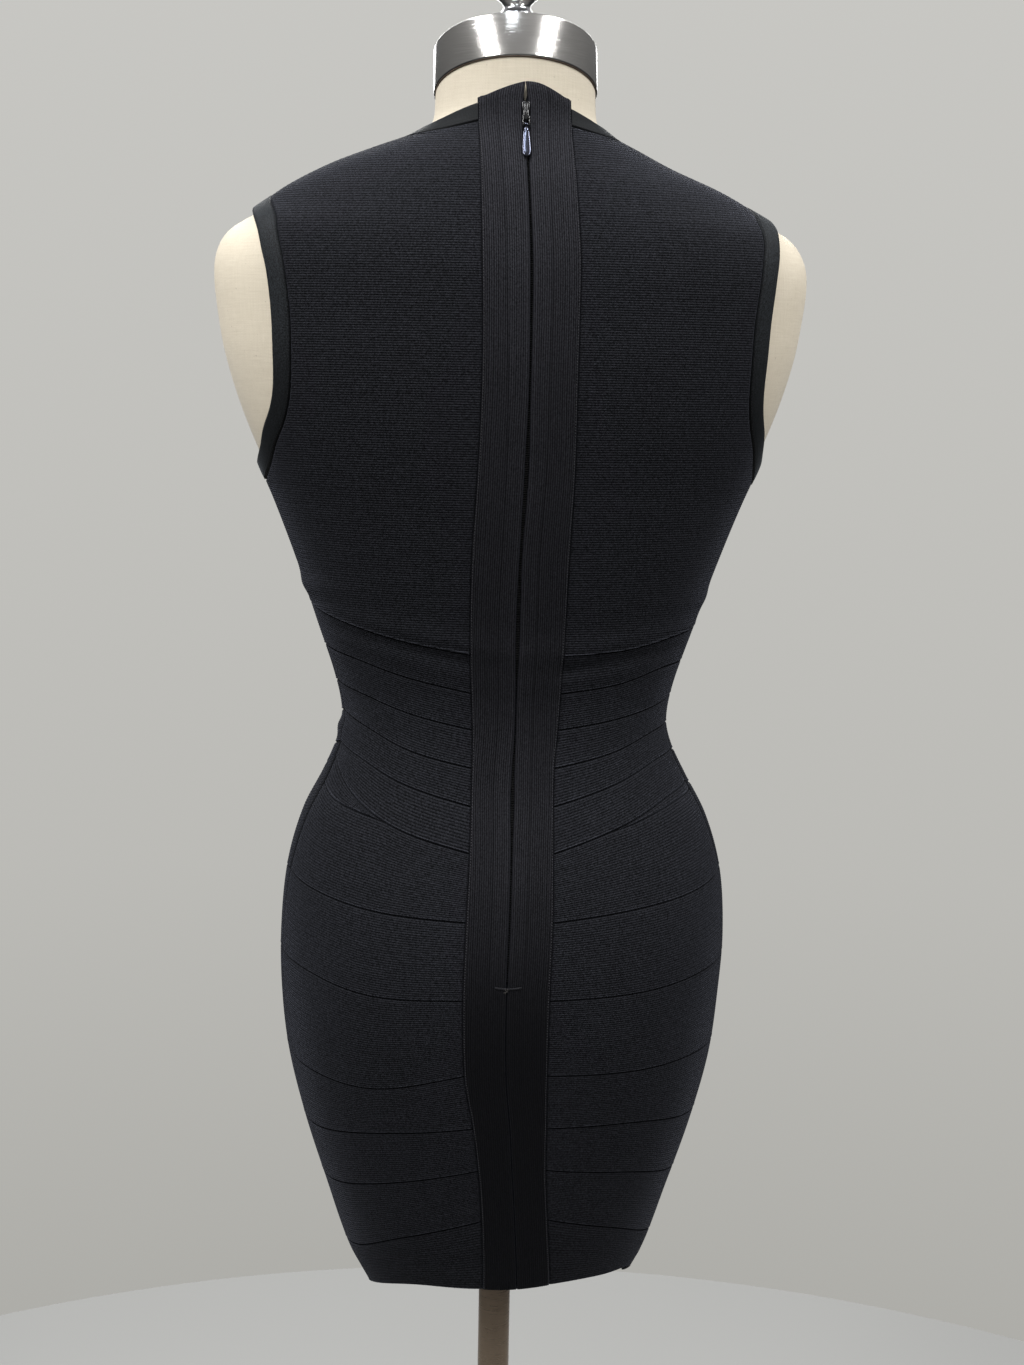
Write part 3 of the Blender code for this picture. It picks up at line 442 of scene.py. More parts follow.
def laid(angle, height, lift=0.0):
    """Points on the worn cloth, lifted off its inner side."""
    normal = figure_normals(angle, height)
    return figure_points(angle, height) + normal * (folds(angle, height) + lift)[..., None]


# Meshes

class Sheet:
    """One face of a cloth piece: its points, its blocks of quads and the runs of its border."""

    def __init__(self, points, blocks, sides):
        self.points = points
        self.blocks = blocks
        self.sides = sides

    def corner_uv(self):
        """A place in the knit for each point."""
        uv = np.zeros((len(self.points), 3))
        for ids, places in reversed(self.blocks):
            uv[ids] = places
        return uv


def knit_places(along, rib, tone=1.0):
    """Places in the knit: metres along the ribs, rib number, and how light the cloth is, painted shade and
    highlights included.
    """
    return np.stack(np.broadcast_arrays(along, rib, tone), -1)


def grid_ids(rows, columns, first=0):
    return first + np.arange(rows * columns).reshape(rows, columns)


def plain_sheet(points, uv):
    """A sheet from one grid of points, with a border of four sides."""
    ids = grid_ids(*points.shape[:2])
    sides = [ids[0], ids[:, -1], ids[-1, ::-1], ids[::-1, 0]]
    return Sheet(points.reshape(-1, 3), [(ids, uv)], sides)


def ring_sheet(points, uv):
    """A sheet from a grid that closes on itself: uv has one column more than the points."""
    ids = grid_ids(*points.shape[:2])
    ids = np.concatenate((ids, ids[:, :1]), axis=1)
    return Sheet(points.reshape(-1, 3), [(ids, uv)], [ids[0], ids[-1, ::-1]])


def quads_of(ids):
    return np.stack((ids[:-1, :-1], ids[:-1, 1:], ids[1:, 1:], ids[1:, :-1]), -1).reshape(-1, 4)


def run_lengths(points):
    """How far along a run of points each lies, from 0 to 1."""
    steps = np.linalg.norm(np.diff(points, axis=0), axis=1)
    total = np.concatenate(([0.0], np.cumsum(steps)))
    return total / max(total[-1], 1e-9)


def stitch_runs(outer, inner, points):
    """Triangles between two runs of points that follow each other."""
    outer_at = run_lengths(points[outer])
    inner_at = run_lengths(points[inner])
    faces = []
    o = i = 0
    while o < len(outer) - 1 or i < len(inner) - 1:
        if i == len(inner) - 1 or (o < len(outer) - 1 and outer_at[o + 1] <= inner_at[i + 1]):
            faces.append((outer[o + 1], outer[o], inner[i]))
            o += 1
        else:
            faces.append((inner[i], inner[i + 1], outer[o]))
            i += 1
    return faces


def shown(name, data):
    """A new object at the origin, linked to the scene."""
    made = bpy.data.objects.new(name, data)
    bpy.context.scene.collection.objects.link(made)
    return made


def mesh_object(name, points, faces, material, uv=None, sharp=60):
    """A shaded object at the origin from points and faces; uv has a place for each corner."""
    mesh = bpy.data.meshes.new(name)
    mesh.from_pydata(np.asarray(points).tolist(), [], [list(map(int, face)) for face in faces])
    if uv is not None:
        layer = mesh.uv_layers.new(name="knit")
        layer.data.foreach_set("uv", np.asarray(uv[:, :2], np.float32).ravel())
        shade = mesh.attributes.new("tone", "FLOAT", "CORNER")
        shade.data.foreach_set("value", np.asarray(uv[:, 2], np.float32))
    mesh.materials.append(material)
    mesh.shade_smooth()
    mesh.set_sharp_from_angle(angle=math.radians(sharp))
    return shown(name, mesh)


def closed_wall(outer, inner):
    """Points, faces and corner places of a wall between two sheets, facing outwards."""
    points = np.concatenate((outer.points, inner.points))
    shift = len(outer.points)
    place = np.concatenate((outer.corner_uv(), inner.corner_uv()))
    faces = []
    corners = []
    for ids, uv in outer.blocks:
        faces += quads_of(ids).tolist()
        corners.append(uv.reshape(-1, 3)[quads_of(grid_ids(*ids.shape))].reshape(-1, 3))
    for ids, uv in inner.blocks:
        faces += (quads_of(ids)[:, ::-1] + shift).tolist()
        corners.append(uv.reshape(-1, 3)[quads_of(grid_ids(*ids.shape))[:, ::-1]].reshape(-1, 3))
    for outer_run, inner_run in zip(outer.sides, inner.sides):
        rim = stitch_runs(np.asarray(outer_run), np.asarray(inner_run) + shift, points)
        faces += rim
        corners.append(place[np.array(rim)].reshape(-1, 3))
    corners = np.concatenate(corners)
    ids = outer.blocks[0][0]
    a, b, c = (outer.points[ids[r, k]] for r, k in
               ((len(ids) // 2, ids.shape[1] // 2), (len(ids) // 2, ids.shape[1] // 2 + 1),
                (len(ids) // 2 + 1, ids.shape[1] // 2)))
    middle = np.array((0, 0, a[2]))
    if np.dot(np.cross(b - a, c - a), a - middle) < 0:
        counts = [len(face) for face in faces]
        starts = np.concatenate(([0], np.cumsum(counts)))[:-1]
        order = np.concatenate([np.arange(s + n - 1, s - 1, -1) for s, n in zip(starts, counts)])
        corners = corners[order]
        faces = [face[::-1] for face in faces]
    return points, faces, corners


def join_walls(walls):
    """Several closed walls as one list of points, faces and corner places."""
    points = []
    faces = []
    corners = []
    shift = 0
    for wall_points, wall_faces, wall_corners in walls:
        points.append(wall_points)
        faces += [[corner + shift for corner in face] for face in wall_faces]
        corners.append(wall_corners)
        shift += len(wall_points)
    return np.concatenate(points), faces, np.concatenate(corners)


def sheet_area(sheet):
    """The area of a sheet, its widest row, and its longest run across the rows."""
    area = 0.0
    width = 0.0
    length = 0.0
    for ids, _ in sheet.blocks:
        p = sheet.points[ids]
        for a, b, c in ((p[:-1, :-1], p[:-1, 1:], p[1:, 1:]), (p[:-1, :-1], p[1:, 1:], p[1:, :-1])):
            area += np.linalg.norm(np.cross(b - a, c - a), axis=-1).sum() / 2
        width += np.linalg.norm(np.diff(p, axis=1), axis=-1).sum(1).max()
        row_way = np.diff(p, axis=1)[:-1]
        row_way = row_way / np.maximum(np.linalg.norm(row_way, axis=-1, keepdims=True), TINY)
        step = np.diff(p[:, :-1], axis=0)
        across = step - (step * row_way).sum(-1, keepdims=True) * row_way
        length = max(length, np.linalg.norm(across, axis=-1).sum(0).max())
    return area, width, length


def cloth_piece(node, walls, plain, material):
    points, faces, corners = join_walls(walls)
    piece = mesh_object(node + "_cloth", points, faces, material, corners)
    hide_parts(node)
    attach(piece, "root")
    area, width, length = sheet_area(plain)


def plain_piece(node, outer, inner, material, slot):
    """A cloth piece of a single wall."""
    cloth_piece(node, [closed_wall(outer, inner)], inner, material)


# Bands and bodice

def edge_shares(length, count):
    """Shares along a row, with two more close to each end for its soft edge."""
    near = EDGE_SOFT / length
    inner = np.linspace(0, 1, count + 1)[1:-1]
    return np.concatenate(([0, near, 2.6 * near], inner, [1 - 2.6 * near, 1 - near, 1]))


def soft_edge(distance):
    """How much of the wall's thickness is left near a rounded edge."""
    return 1 - EDGE_DEPTH * np.exp(-(distance / EDGE_SOFT) ** 2)


def rib_shape(phase, soft=0.6):
    return np.abs(np.sin(math.pi * phase)) ** soft


def seam_shade_and_highlight(distance, ridge=0.0, width=0.0005):
    """How light the cloth is near a seam: painted shade in the groove, a painted highlight on the sewn ridge.
    """
    groove = 0.62 * np.exp(-(distance / 0.0005) ** 2)
    return 1 - groove + ridge * 0.8 * np.exp(-((distance - 0.0012) / width) ** 2)


def ridge_shape(distance, height, width=0.00045, middle=0.0010):
    return height * np.exp(-((distance - middle) / width) ** 2)


def band_wall(low, high, angles, shares, side_painted_shade=0.0):
    """A knitted band between two seams; low and high give heights, angles the way round."""
    share = shares[None, :]
    span = high(share) - low(share)
    tall = float(np.mean(span))
    ribs = max(round(tall / RIB_PITCH), 2)
    rows = np.linspace(0, 1, ribs * ROWS_A_RIB + 1)[:, None]
    nudge = SEAM_GAP / 3 * (1 - 2 * rows)
    height = low(share) * (1 - rows) + high(share) * rows + nudge
    angle = angles(height[:, :1], height[:, -1:], share)
    below = rows * span
    above = (1 - rows) * span
    soft = soft_edge(below) * soft_edge(above)
    length = run_length(laid(angle[len(rows) // 2], height[len(rows) // 2]))
    across = share * length
    soft = soft * soft_edge(across) * soft_edge(length - across)
    calm = ease((np.minimum(below, above) - 0.0006) / min(0.0016, tall / 3))
    rib = RIB_HEIGHT * rib_shape(rows * ribs) * calm
    lift = (WALL + rib + ridge_shape(below, RIDGE) * (1 + 0.12 * np.sin(across / 0.0011))) * soft
    # Painted shade in the seams' grooves and a painted highlight on the sewn ridge at the lower edge; two
    # front bands also get painted shade towards the side seams.
    tone = seam_shade_and_highlight(below, 1.0) * seam_shade_and_highlight(above) * seam_shade_and_highlight(across) * seam_shade_and_highlight(length - across)
    tone = tone * (1 - side_painted_shade * np.exp(-(np.minimum(across, length - across) / 0.010) ** 2))
    uv = knit_places(across, rows * ribs, tone)
    outer = plain_sheet(laid(angle, height, lift), uv)
    return outer, inner_band(low, high, angles, shares, ribs, length)


def run_length(points):
    return float(np.linalg.norm(np.diff(points, axis=0), axis=1).sum())


def inner_band(low, high, angles, shares, ribs, length):
    """The plain inner side of a band, which runs on a little under its upper neighbour."""
    share = np.linspace(shares[0], shares[-1], max(int(length / 0.010), 4) + 1)[None, :]
    rows = np.array([0, 0.25, 0.5, 0.75, 1])[:, None]
    height = low(share) * (1 - rows) + high(share) * rows - SEAM_GAP / 3 + 0.0010 * rows
    angle = angles(height[:, :1], height[:, -1:], share)
    uv = knit_places(share * length, rows * ribs)
    return plain_sheet(laid(angle, height), uv)


def back_angles(side):
    """How the angle runs along a row of a back band, from the strip to the side seam."""
    def angles(start_height, end_height, share):
        start = strip_edge(side, start_height, SEAM_GAP / 2)
        end = side_seam(end_height) + gap_angle(end_height, SEAM_GAP / 3)
        return turned(side, between(start, end, share))
    return angles


def front_angles(start_height, end_height, share):
    """Angles along a row of a front band, from the left side seam to the right one."""
    left = side_seam(start_height) - gap_angle(start_height, SEAM_GAP / 3)
    right = side_seam(end_height) - gap_angle(end_height, SEAM_GAP / 3)
    middle = -math.pi / 2
    return np.where(share <= 0.5, between(left, middle, np.minimum(share * 2, 1)),
                    -math.pi - between(right, middle, np.minimum((1 - share) * 2, 1)))


def back_band(node, lower, side, material):
    low = lambda share: seam_height(lower, side, share)
    high = lambda share: seam_height(lower + 1, side, share)
    shares = edge_shares(BACK_ROW, BACK_COLUMNS)
    angles = back_angles(side)
    if lower != SKIRT_BANDS - 1:
        plain_piece(node, *band_wall(low, high, angles, shares), material, "knit")
        return
    under = lambda share: high(share) - wedge_depth(side, high, share)
    thin = wedge_start(under, high)
    wedge_shares = np.concatenate((np.linspace(thin, 1, 16)[:-1], [0.993, 0.9972, 1]))
    walls = [closed_wall(*band_wall(low, under, angles, shares)),
             closed_wall(*band_wall(under, high, angles, wedge_shares))]
    plain = band_wall(low, high, angles, shares)[1]
    cloth_piece(node, walls, plain, material)


def wedge_depth(side, high, share):
    """How far the wedge's lower seam lies below the upper one, along the way to the side."""
    start = strip_edge(side, high(0.0), SEAM_GAP / 2)
    angle = between(start, side_seam(high(1.0)), share)
    table = np.array(WEDGE_DEPTH[side])
    return np.interp(np.degrees(angle), table[:, 0], table[:, 1])


def wedge_start(under, high):
    """The share at which the wedge is first thick enough to sew."""
    shares = np.linspace(0, 1, 401)
    return float(shares[np.argmax(high(shares) - under(shares) > 0.0008)])


def front_band(node, lower, material):
    low = lambda share: front_seam_height(lower, share)
    high = lambda share: front_seam_height(lower + 1, share)
    side_painted_shade = SIDE_PAINTED_SHADE if lower in (SKIRT_BANDS - 1, SKIRT_BANDS) else 0.0
    shares = edge_shares(FRONT_ROW, FRONT_COLUMNS)
    plain_piece(node, *band_wall(low, high, front_angles, shares, side_painted_shade), material, "knit")


def armhole_edge(side, face, steps=120):
    """The armhole's edge on one face, from the underarm to the shoulder, in even steps."""
    column, way = (2, 1) if face == "back" else (3, -1)
    stretch = 1 + ARMHOLE_SHIFT * side * way
    knots = [(index, *row) for index, row in enumerate(ARMHOLE)]
    at = np.linspace(0, len(ARMHOLE) - 1, 800)
    height = smooth(knots, 1, at)
    angle = np.radians(smooth(knots, column, at)) * stretch * way
    length = run_lengths(figure_points(angle, height))
    even = np.linspace(0, 1, steps + 1)
    return np.interp(even, length, angle), np.interp(even, length, height)


def off_the_armhole(angle, height, distance):
    """Places on the figure a distance away from the armhole's edge."""
    middle = np.array((figure_points(0.0, ARMHOLE_MIDDLE)[0], 0, ARMHOLE_MIDDLE))
    return walk(angle, height, figure_points(angle, height) - middle, distance)


def neckline_height(angle):
    rise = np.where(np.sin(angle) > 0, NECK_BACK_RISE, -NECK_FRONT_DROP)
    return NECK_SIDE + rise * np.abs(np.sin(angle)) ** NECK_CURVE


def below_neckline(angle, distance, steps=4):
    """The height at a distance below the neckline's edge, at the same angle."""
    height = neckline_height(angle)
    for _ in range(steps):
        height = height - distance / steps / np.linalg.norm(figure_slopes(angle, height)[1], axis=-1)
    return height


def back_neck_place(side, share, distance):
    """A place below the neckline, from the strip at 0 to the shoulder at 1."""
    start = strip_edge(side, STRIP_TOP_EDGE, SEAM_GAP / 2)
    angle = between(start, 0.0, share)
    height = below_neckline(angle, distance)
    at_strip = strip_edge(side, below_neckline(start, distance), SEAM_GAP / 2)
    return angle + (at_strip - start) * (1 - share) ** 2, height


def front_neck_place(share, distance):
    """A place below the front neckline, from the left shoulder at 0 to the right at 1."""
    reach = 2 * np.minimum(share, 1 - share)
    angle = between(0.0, -math.pi / 2, reach)
    height = below_neckline(angle, distance)
    return np.where(share <= 0.5, angle, -math.pi - angle), height


def rising(heights):
    """Heights that never fall, so that a row meets a border once."""
    return np.maximum.accumulate(heights) + np.arange(len(heights)) * 1e-9


def back_border(side, reach):
    """Heights and angles of a back bodice's outer border, from its lower corner at the strip
    along the seam, side, armhole and shoulder to the neckband."""
    share = np.linspace(0, 1, 121)
    seam = seam_height(-1, side, share) - reach
    start = strip_edge(side, seam[0], SEAM_GAP / 2)
    seam_angles = between(start, side_seam(seam[-1]), share)
    arm_angles, arm_heights = off_the_armhole(*armhole_edge(side, "back"),
                                              BINDING_WIDTH + SEAM_GAP / 2 - reach)
    side_heights = np.linspace(seam[-1], arm_heights[0], 40)[1:-1]
    neck_angles, neck_heights = back_neck_place(side, np.linspace(1, 0, 121),
                                                NECKBAND_WIDTH + SEAM_GAP / 2 - reach)
    heights = np.concatenate((seam, side_heights, arm_heights, neck_heights))
    angles = np.concatenate((seam_angles, side_seam(side_heights), arm_angles, neck_angles))
    corners = (seam[-1], neck_heights[0])
    return rising(heights), np.maximum(angles, 0.0), corners


BORDER_STEPS = np.array([0.0022, 0.0015, 0.0010, 0.0006, 0.0003, 0.0])


def border_scale(levels, heights, angles, radius=0.15):
    """How much longer a level step is than its distance square to the sloping border."""
    reach = np.abs(np.gradient(angles) / np.maximum(np.gradient(heights), 1e-7)) * radius
    return np.sqrt(1 + np.interp(levels, heights, np.minimum(reach, 14.0)) ** 2)


def border_shares(length, scale, columns):
    """Even columns, then close ones near the border, and how far each lies from it."""
    near = np.minimum(BORDER_STEPS[None, :] * scale / length, 0.5 * BORDER_STEPS / BORDER_STEPS[0])
    first = np.minimum(EDGE_SOFT / length, 0.05)
    even = np.linspace(0, 1, columns + 1)[None, 1:-1] * (1 - near[:, :1] - 2.6 * first) + 2.6 * first
    share = np.concatenate((0 * first, first, 2.6 * first, even, 1 - near), 1)
    return share, (1 - share) * length / scale


def back_bodice_sheet(side, columns, reach=0.0, detailed=True):
    """One face of a back bodice, in level rows that the seams and the armhole cut off."""
    heights, angles, corners = back_border(side, reach)
    bottom = heights[0] + 0.00015
    top = heights[-1] - 0.00015
    if detailed:
        ribs = round((top - bottom) / RIB_PITCH)
        levels = np.linspace(bottom, top, ribs * ROWS_A_RIB + 1)
    else:
        near = 0.0012
        levels = np.concatenate((np.arange(bottom, corners[0], near),
                                 np.arange(corners[0], corners[1], INNER_ROWS),
                                 np.arange(corners[1], top, near), [top]))
        ribs = (top - bottom) / RIB_PITCH
    height = levels[:, None]
    start = strip_edge(side, height, SEAM_GAP / 2)
    end = np.interp(height, heights, angles)
    length = np.maximum((start - end) * METRES_A_RADIAN, 0.004)
    phase = (height - bottom) / (top - bottom) * ribs
    if detailed:
        share, away = border_shares(length, border_scale(levels, heights, angles)[:, None], columns)
        seamed = ease((corners[0] - height) / 0.006 + 1)
        calm = ease((away - 0.0007) / 0.0014)
        lift = (WALL + RIB_HEIGHT * rib_shape(phase) * calm
                + ridge_shape(away, BOLD_RIDGE, 0.0006, 0.0011) * seamed)
        lift = lift * soft_edge(away) * soft_edge(share * length)
        # Painted shade in the grooves at the border and a bold painted highlight on the sewn ridge along the
        # waist seam.
        tone = seam_shade_and_highlight(away, 3.2 * seamed, 0.0008) * seam_shade_and_highlight(share * length)
    else:
        share = np.broadcast_to(np.linspace(0, 1, columns + 1), (len(levels), columns + 1))
        lift = np.zeros(share.shape)
        tone = 1.0
    angle = turned(side, between(start, end, share))
    uv = knit_places(share * length, phase, tone)
    points = laid(angle, height, lift)
    ids = grid_ids(*points.shape[:2])
    low = int(np.argmax(levels >= corners[0]))
    high = int(np.argmax(levels >= corners[1]))
    sides = [np.concatenate((ids[0, :-1], ids[:low + 1, -1])), ids[low:high + 1, -1],
             np.concatenate((ids[high:, -1], ids[-1, -2::-1])), ids[::-1, 0]]
    return Sheet(points.reshape(-1, 3), [(ids, uv)], sides)


def back_bodice(node, side, material):
    outer = back_bodice_sheet(side, BACK_COLUMNS)
    inner = back_bodice_sheet(side, 14, INNER_REACH, detailed=False)
    plain_piece(node, outer, inner, material, "knit")


def front_half(side, levels, phase, columns, reach, detailed):
    """Rows of half the front bodice, from the middle or the neckband to its outer border."""
    arm_angles, arm_heights = off_the_armhole(*armhole_edge(side, "front"),
                                              BINDING_WIDTH + SEAM_GAP / 2 - reach)
    bottom = SEAMS[-1][3 if side > 0 else 6] - 0.002
    side_heights = np.linspace(bottom, arm_heights[0], 60)[:-1]
    neck_angles = np.linspace(-math.pi / 2, 0, 181)
    neck_heights = rising(below_neckline(neck_angles, NECKBAND_WIDTH + SEAM_GAP / 2 - reach))
    shoulder = np.linspace(arm_heights[-1], neck_heights[-1], 20)[1:]
    heights = rising(np.concatenate((side_heights, arm_heights, shoulder)))
    angles = np.concatenate((side_seam(side_heights), arm_angles, 0 * shoulder))
    angles = angles - gap_angle(heights, SEAM_GAP / 3) * (angles > -0.02)
    height = levels[:, None]
    start = np.interp(height, neck_heights, neck_angles)
    first = np.linspace(0, 1, columns + 1)[None, :]
    fade = 1 - ease((height - levels[0]) / 0.080)
    neck_scale = np.where(levels > neck_heights[0],
                          border_scale(levels, neck_heights, neck_angles, 0.12), 1.0)
    along = 0.5 - first / 2 if side > 0 else 0.5 + first / 2
    row = height + (front_seam_height(-1, along) - SEAMS[-1][7]) * fade
    end = np.interp(row[:, -1:], heights, angles)
    end = np.maximum(end, start + TINY)
    length = np.maximum((end - start) * METRES_A_RADIAN, 0.004)
    share = np.broadcast_to(first, row.shape)
    if detailed:
        scale = border_scale(levels, heights, angles)[:, None]
        near = np.minimum(BORDER_STEPS[None, :] * scale / length, 0.3 * BORDER_STEPS / BORDER_STEPS[0])
        inset = np.minimum(BORDER_STEPS[None, ::-1] * neck_scale[:, None] / length,
                           0.3 * BORDER_STEPS[::-1] / BORDER_STEPS[0])
        even = first[:, 1:-1] * (1 - near[:, :1] - inset[:, -1:]) + inset[:, -1:]
        share = np.concatenate((inset, even, 1 - near), 1)
        row = height + (front_seam_height(-1, 0.5 - side * share / 2) - SEAMS[-1][7]) * fade
    angle = between(start, end, share)
    angle = angle if side > 0 else -math.pi - angle
    lift = np.zeros(share.shape)
    tone = 1.0
    if detailed:
        away = (1 - share) * length / scale
        below_neck = np.where(height > neck_heights[0], share * length / neck_scale[:, None], 1.0)
        above_seam = height - levels[0]
        lift = (WALL + RIB_HEIGHT * rib_shape(phase)[:, None] * ease((above_seam - 0.0007) / 0.0014)
                + ridge_shape(above_seam, RIDGE, 0.0006, 0.0011))
        lift = lift * soft_edge(away) * soft_edge(below_neck) * soft_edge(above_seam)
        # Painted shade in the grooves at the border and neckline, and a bold painted highlight on the sewn
        # ridge above the waist seam.
        tone = seam_shade_and_highlight(away) * seam_shade_and_highlight(below_neck) * seam_shade_and_highlight(above_seam, 3.2, 0.0008)
    uv = knit_places(side * share * length, phase[:, None], tone)
    return laid(angle, row, lift), uv, neck_heights[0]


def front_bodice_sheet(columns, reach=0.0, detailed=True):
    """Both halves of the front bodice, joined at the middle up to the neckline."""
    bottom = SEAMS[-1][7] - reach + (0.0001 if detailed else 0.0)
    top = float(below_neckline(np.array(0.0), NECKBAND_WIDTH + SEAM_GAP / 2 - reach)) - 0.0002
    ribs = round((top - bottom) / RIB_PITCH)
    count = ribs * ROWS_A_RIB if detailed else round((top - bottom) / INNER_ROWS)
    levels = np.linspace(bottom, top, count + 1)
    phase = np.linspace(0, ribs, count + 1)
    left, left_uv, neck = front_half(1, levels, phase, columns, reach, detailed)
    right, right_uv, _ = front_half(-1, levels, phase, columns, reach, detailed)
    joined = int(np.argmax(levels > neck)) - 1
    left_ids = grid_ids(*left.shape[:2])
    right_ids = grid_ids(*right.shape[:2], first=left_ids.size)
    right_ids[:joined + 1, 0] = left_ids[:joined + 1, 0]
    points = np.concatenate((left.reshape(-1, 3), right.reshape(-1, 3)))
    left_flip = left_ids[:, ::-1]
    sides = [np.concatenate((left_flip[0], right_ids[0, 1:])), right_ids[:, -1],
             right_ids[-1, ::-1],
             np.concatenate((right_ids[joined:, 0][::-1], left_ids[joined + 1:, 0])),
             left_ids[-1], left_ids[::-1, -1]]
    blocks = [(left_flip, left_uv[:, ::-1]), (right_ids, right_uv)]
    return tidy_sheet(points, blocks, sides)


def tidy_sheet(points, blocks, sides):
    """The same sheet without the points that no quad uses."""
    used = np.unique(np.concatenate([ids.ravel() for ids, _ in blocks]))
    place = np.full(len(points), -1)
    place[used] = np.arange(len(used))
    return Sheet(points[used], [(place[ids], uv) for ids, uv in blocks], [place[s] for s in sides])


def front_bodice(node, material):
    outer = front_bodice_sheet(22)
    inner = front_bodice_sheet(16, INNER_REACH, detailed=False)
    plain_piece(node, outer, inner, material, "knit")


# The strip, bindings and neckband

def strip_wall(side, rows, columns, detailed):
    """One half of the strip, from its sewn edge to the slit, with ribs that run up it."""
    share = columns[None, :]
    edge_height = STRIP_TOP_EDGE + 0.0007 * np.exp(-((share - 0.03) / 0.05) ** 2)
    bow = STRIP_TOP_BOW[side] * np.sin(math.pi * share ** 1.4)
    top = edge_height + (STRIP_TOP_MIDDLE - STRIP_TOP_EDGE) * share + bow
    bottom = SEAMS[0][0] - 0.0002
    rise = rows[:, None]
    height = bottom + (top - bottom) * rise
    centre = smooth(STRIP, 1, height)
    half_width = smooth(STRIP, 2, height)
    closed = 0.00010 if detailed else -0.0012
    gap = np.where(height < ZIP_END, closed, smooth(SLIT, 1, height) / 2)
    reach = half_width + (0.0 if detailed else 0.0014)
    aside = reach * (1 - share) + gap * share
    angle = back_angle(centre + side * aside, height)
    from_slit = aside - gap
    from_edge = half_width - aside
    phase = from_slit / STRIP_RIB_PITCH
    if not detailed:
        return plain_sheet(laid(angle, height, -0.0003), knit_places(phase, height))
    line = smooth(PLACKET, 1 if side > 0 else 2, height)
    zipped = ease((height - ZIP_END) / 0.01)
    pressed = 1 - ease((from_slit - line + 0.0006) / 0.0012)
    rib = RIB_HEIGHT * rib_shape(phase, 0.7) * (1 - 0.65 * pressed * zipped)
    groove = 0.00035 * np.exp(-((from_slit - line) / 0.0005) ** 2) * (0.25 + 0.75 * zipped)
    lip = 0.0004 * zipped * np.exp(-((from_slit - 0.0022) / 0.0016) ** 2)
    slit_soft = 1 - 0.7 * np.exp(-(from_slit / (0.0004 + 0.0005 * zipped)) ** 2)
    low = height - bottom
    high = top - height
    soft = slit_soft * soft_edge(from_edge) * soft_edge(low) * soft_edge(high * 0.6)
    lift = (STRIP_WALL + rib - groove + lip) * soft
    # Painted shade along the stitched groove beside the slit, with the pressed band a little lighter; painted
    # shade in the grooves at the edge and slit, and a painted highlight near the slit's lip.
    line_shade = np.exp(-((from_slit - line) / 0.0006) ** 2) * (0.25 + 0.75 * zipped)
    tone = 1 + 0.12 * pressed * zipped - 0.45 * line_shade
    tone = tone * seam_shade_and_highlight(from_edge) * seam_shade_and_highlight(from_slit * 0.8, 0.5)
    # Painted shade: the strip darkens towards its bottom, where less light falls.
    tone = tone * (0.25 + 0.70 * ease((height - 0.93) / 0.15) + 0.42 * ease((height - 1.20) / 0.35))
    return plain_sheet(laid(angle, height, lift), knit_places(phase, height, tone))


def back_strip(node, side, material):
    even = np.linspace(0, 1, STRIP_RIBS * ROWS_A_RIB + 1)
    even = even[(even > 0.035) & (even < 0.965)]
    columns = np.concatenate(([0, 0.012, 0.030], even, [0.970, 0.985, 1]))
    rows = np.linspace(0, 1, 141)
    rows = np.concatenate(([0, 0.0005, 0.0012], rows[1:-1], [0.9988, 0.9995, 1]))
    outer = strip_wall(side, rows, columns, True)
    inner = strip_wall(side, np.linspace(0, 1, 86), np.linspace(0, 1, 7), False)
    plain_piece(node, outer, inner, material, "strip_knit")


def neckband_places(distance, back_count, front_count):
    """Places along the neckband at one distance below its edge, from strip to strip."""
    even = np.linspace(0, 1, back_count + 1)
    left_angle, left_height = back_neck_place(1, even, distance)
    right_angle, right_height = back_neck_place(-1, even[::-1], distance)
    front_angle, front_height = front_neck_place(np.linspace(0, 1, front_count + 1)[1:-1], distance)
    angle = np.concatenate((left_angle, front_angle, -math.pi - right_angle))
    return angle, np.concatenate((left_height, front_height, right_height))


def band_profile(part, wall):
    """The lift of a folded binding across its width: 0 at its free edge, 1 at its seam."""
    crown = 0.00035 * np.sin(math.pi * np.clip(part, 0, 1)) ** 0.7
    groove = 0.00012 * np.exp(-((part - 0.80) / 0.03) ** 2)
    free = 1 - 0.55 * np.exp(-(part / 0.045) ** 2)
    seam = 1 - 0.85 * np.exp(-((1 - part) / 0.050) ** 2)
    return (wall + crown - groove) * free * seam


# How light the neckband is beside the knit's own tone
NECKBAND_TONE = 0.42


def binding_seam_shade(part, width):
    """How light a binding is: painted shade where it is sewn on, and a fainter line of painted shade in the
    groove near its seam.
    """
    seam = 0.85 * np.exp(-((1 - part) * width / 0.0011) ** 2)
    return 1 - seam - 0.40 * np.exp(-((part - 0.80) / 0.03) ** 2)


BAND_PARTS = np.array([0, 0.02, 0.05, 0.1, 0.2, 0.35, 0.5, 0.62, 0.72, 0.765, 0.80, 0.835, 0.88, 0.94,
                       0.97, 1.0])
INNER_PARTS = (0.0, 0.5, 1.06)
# The neckband's columns on each half of the back and on the front, and an armhole's steps a face
NECK_COLUMNS = (46, 96)
INNER_NECK_COLUMNS = (20, 40)
ARM_STEPS = 110
INNER_ARM_STEPS = 40


def stacked(rows):
    """The angles of all rows in one grid, and their heights in another."""
    return np.stack([angle for angle, _ in rows]), np.stack([height for _, height in rows])


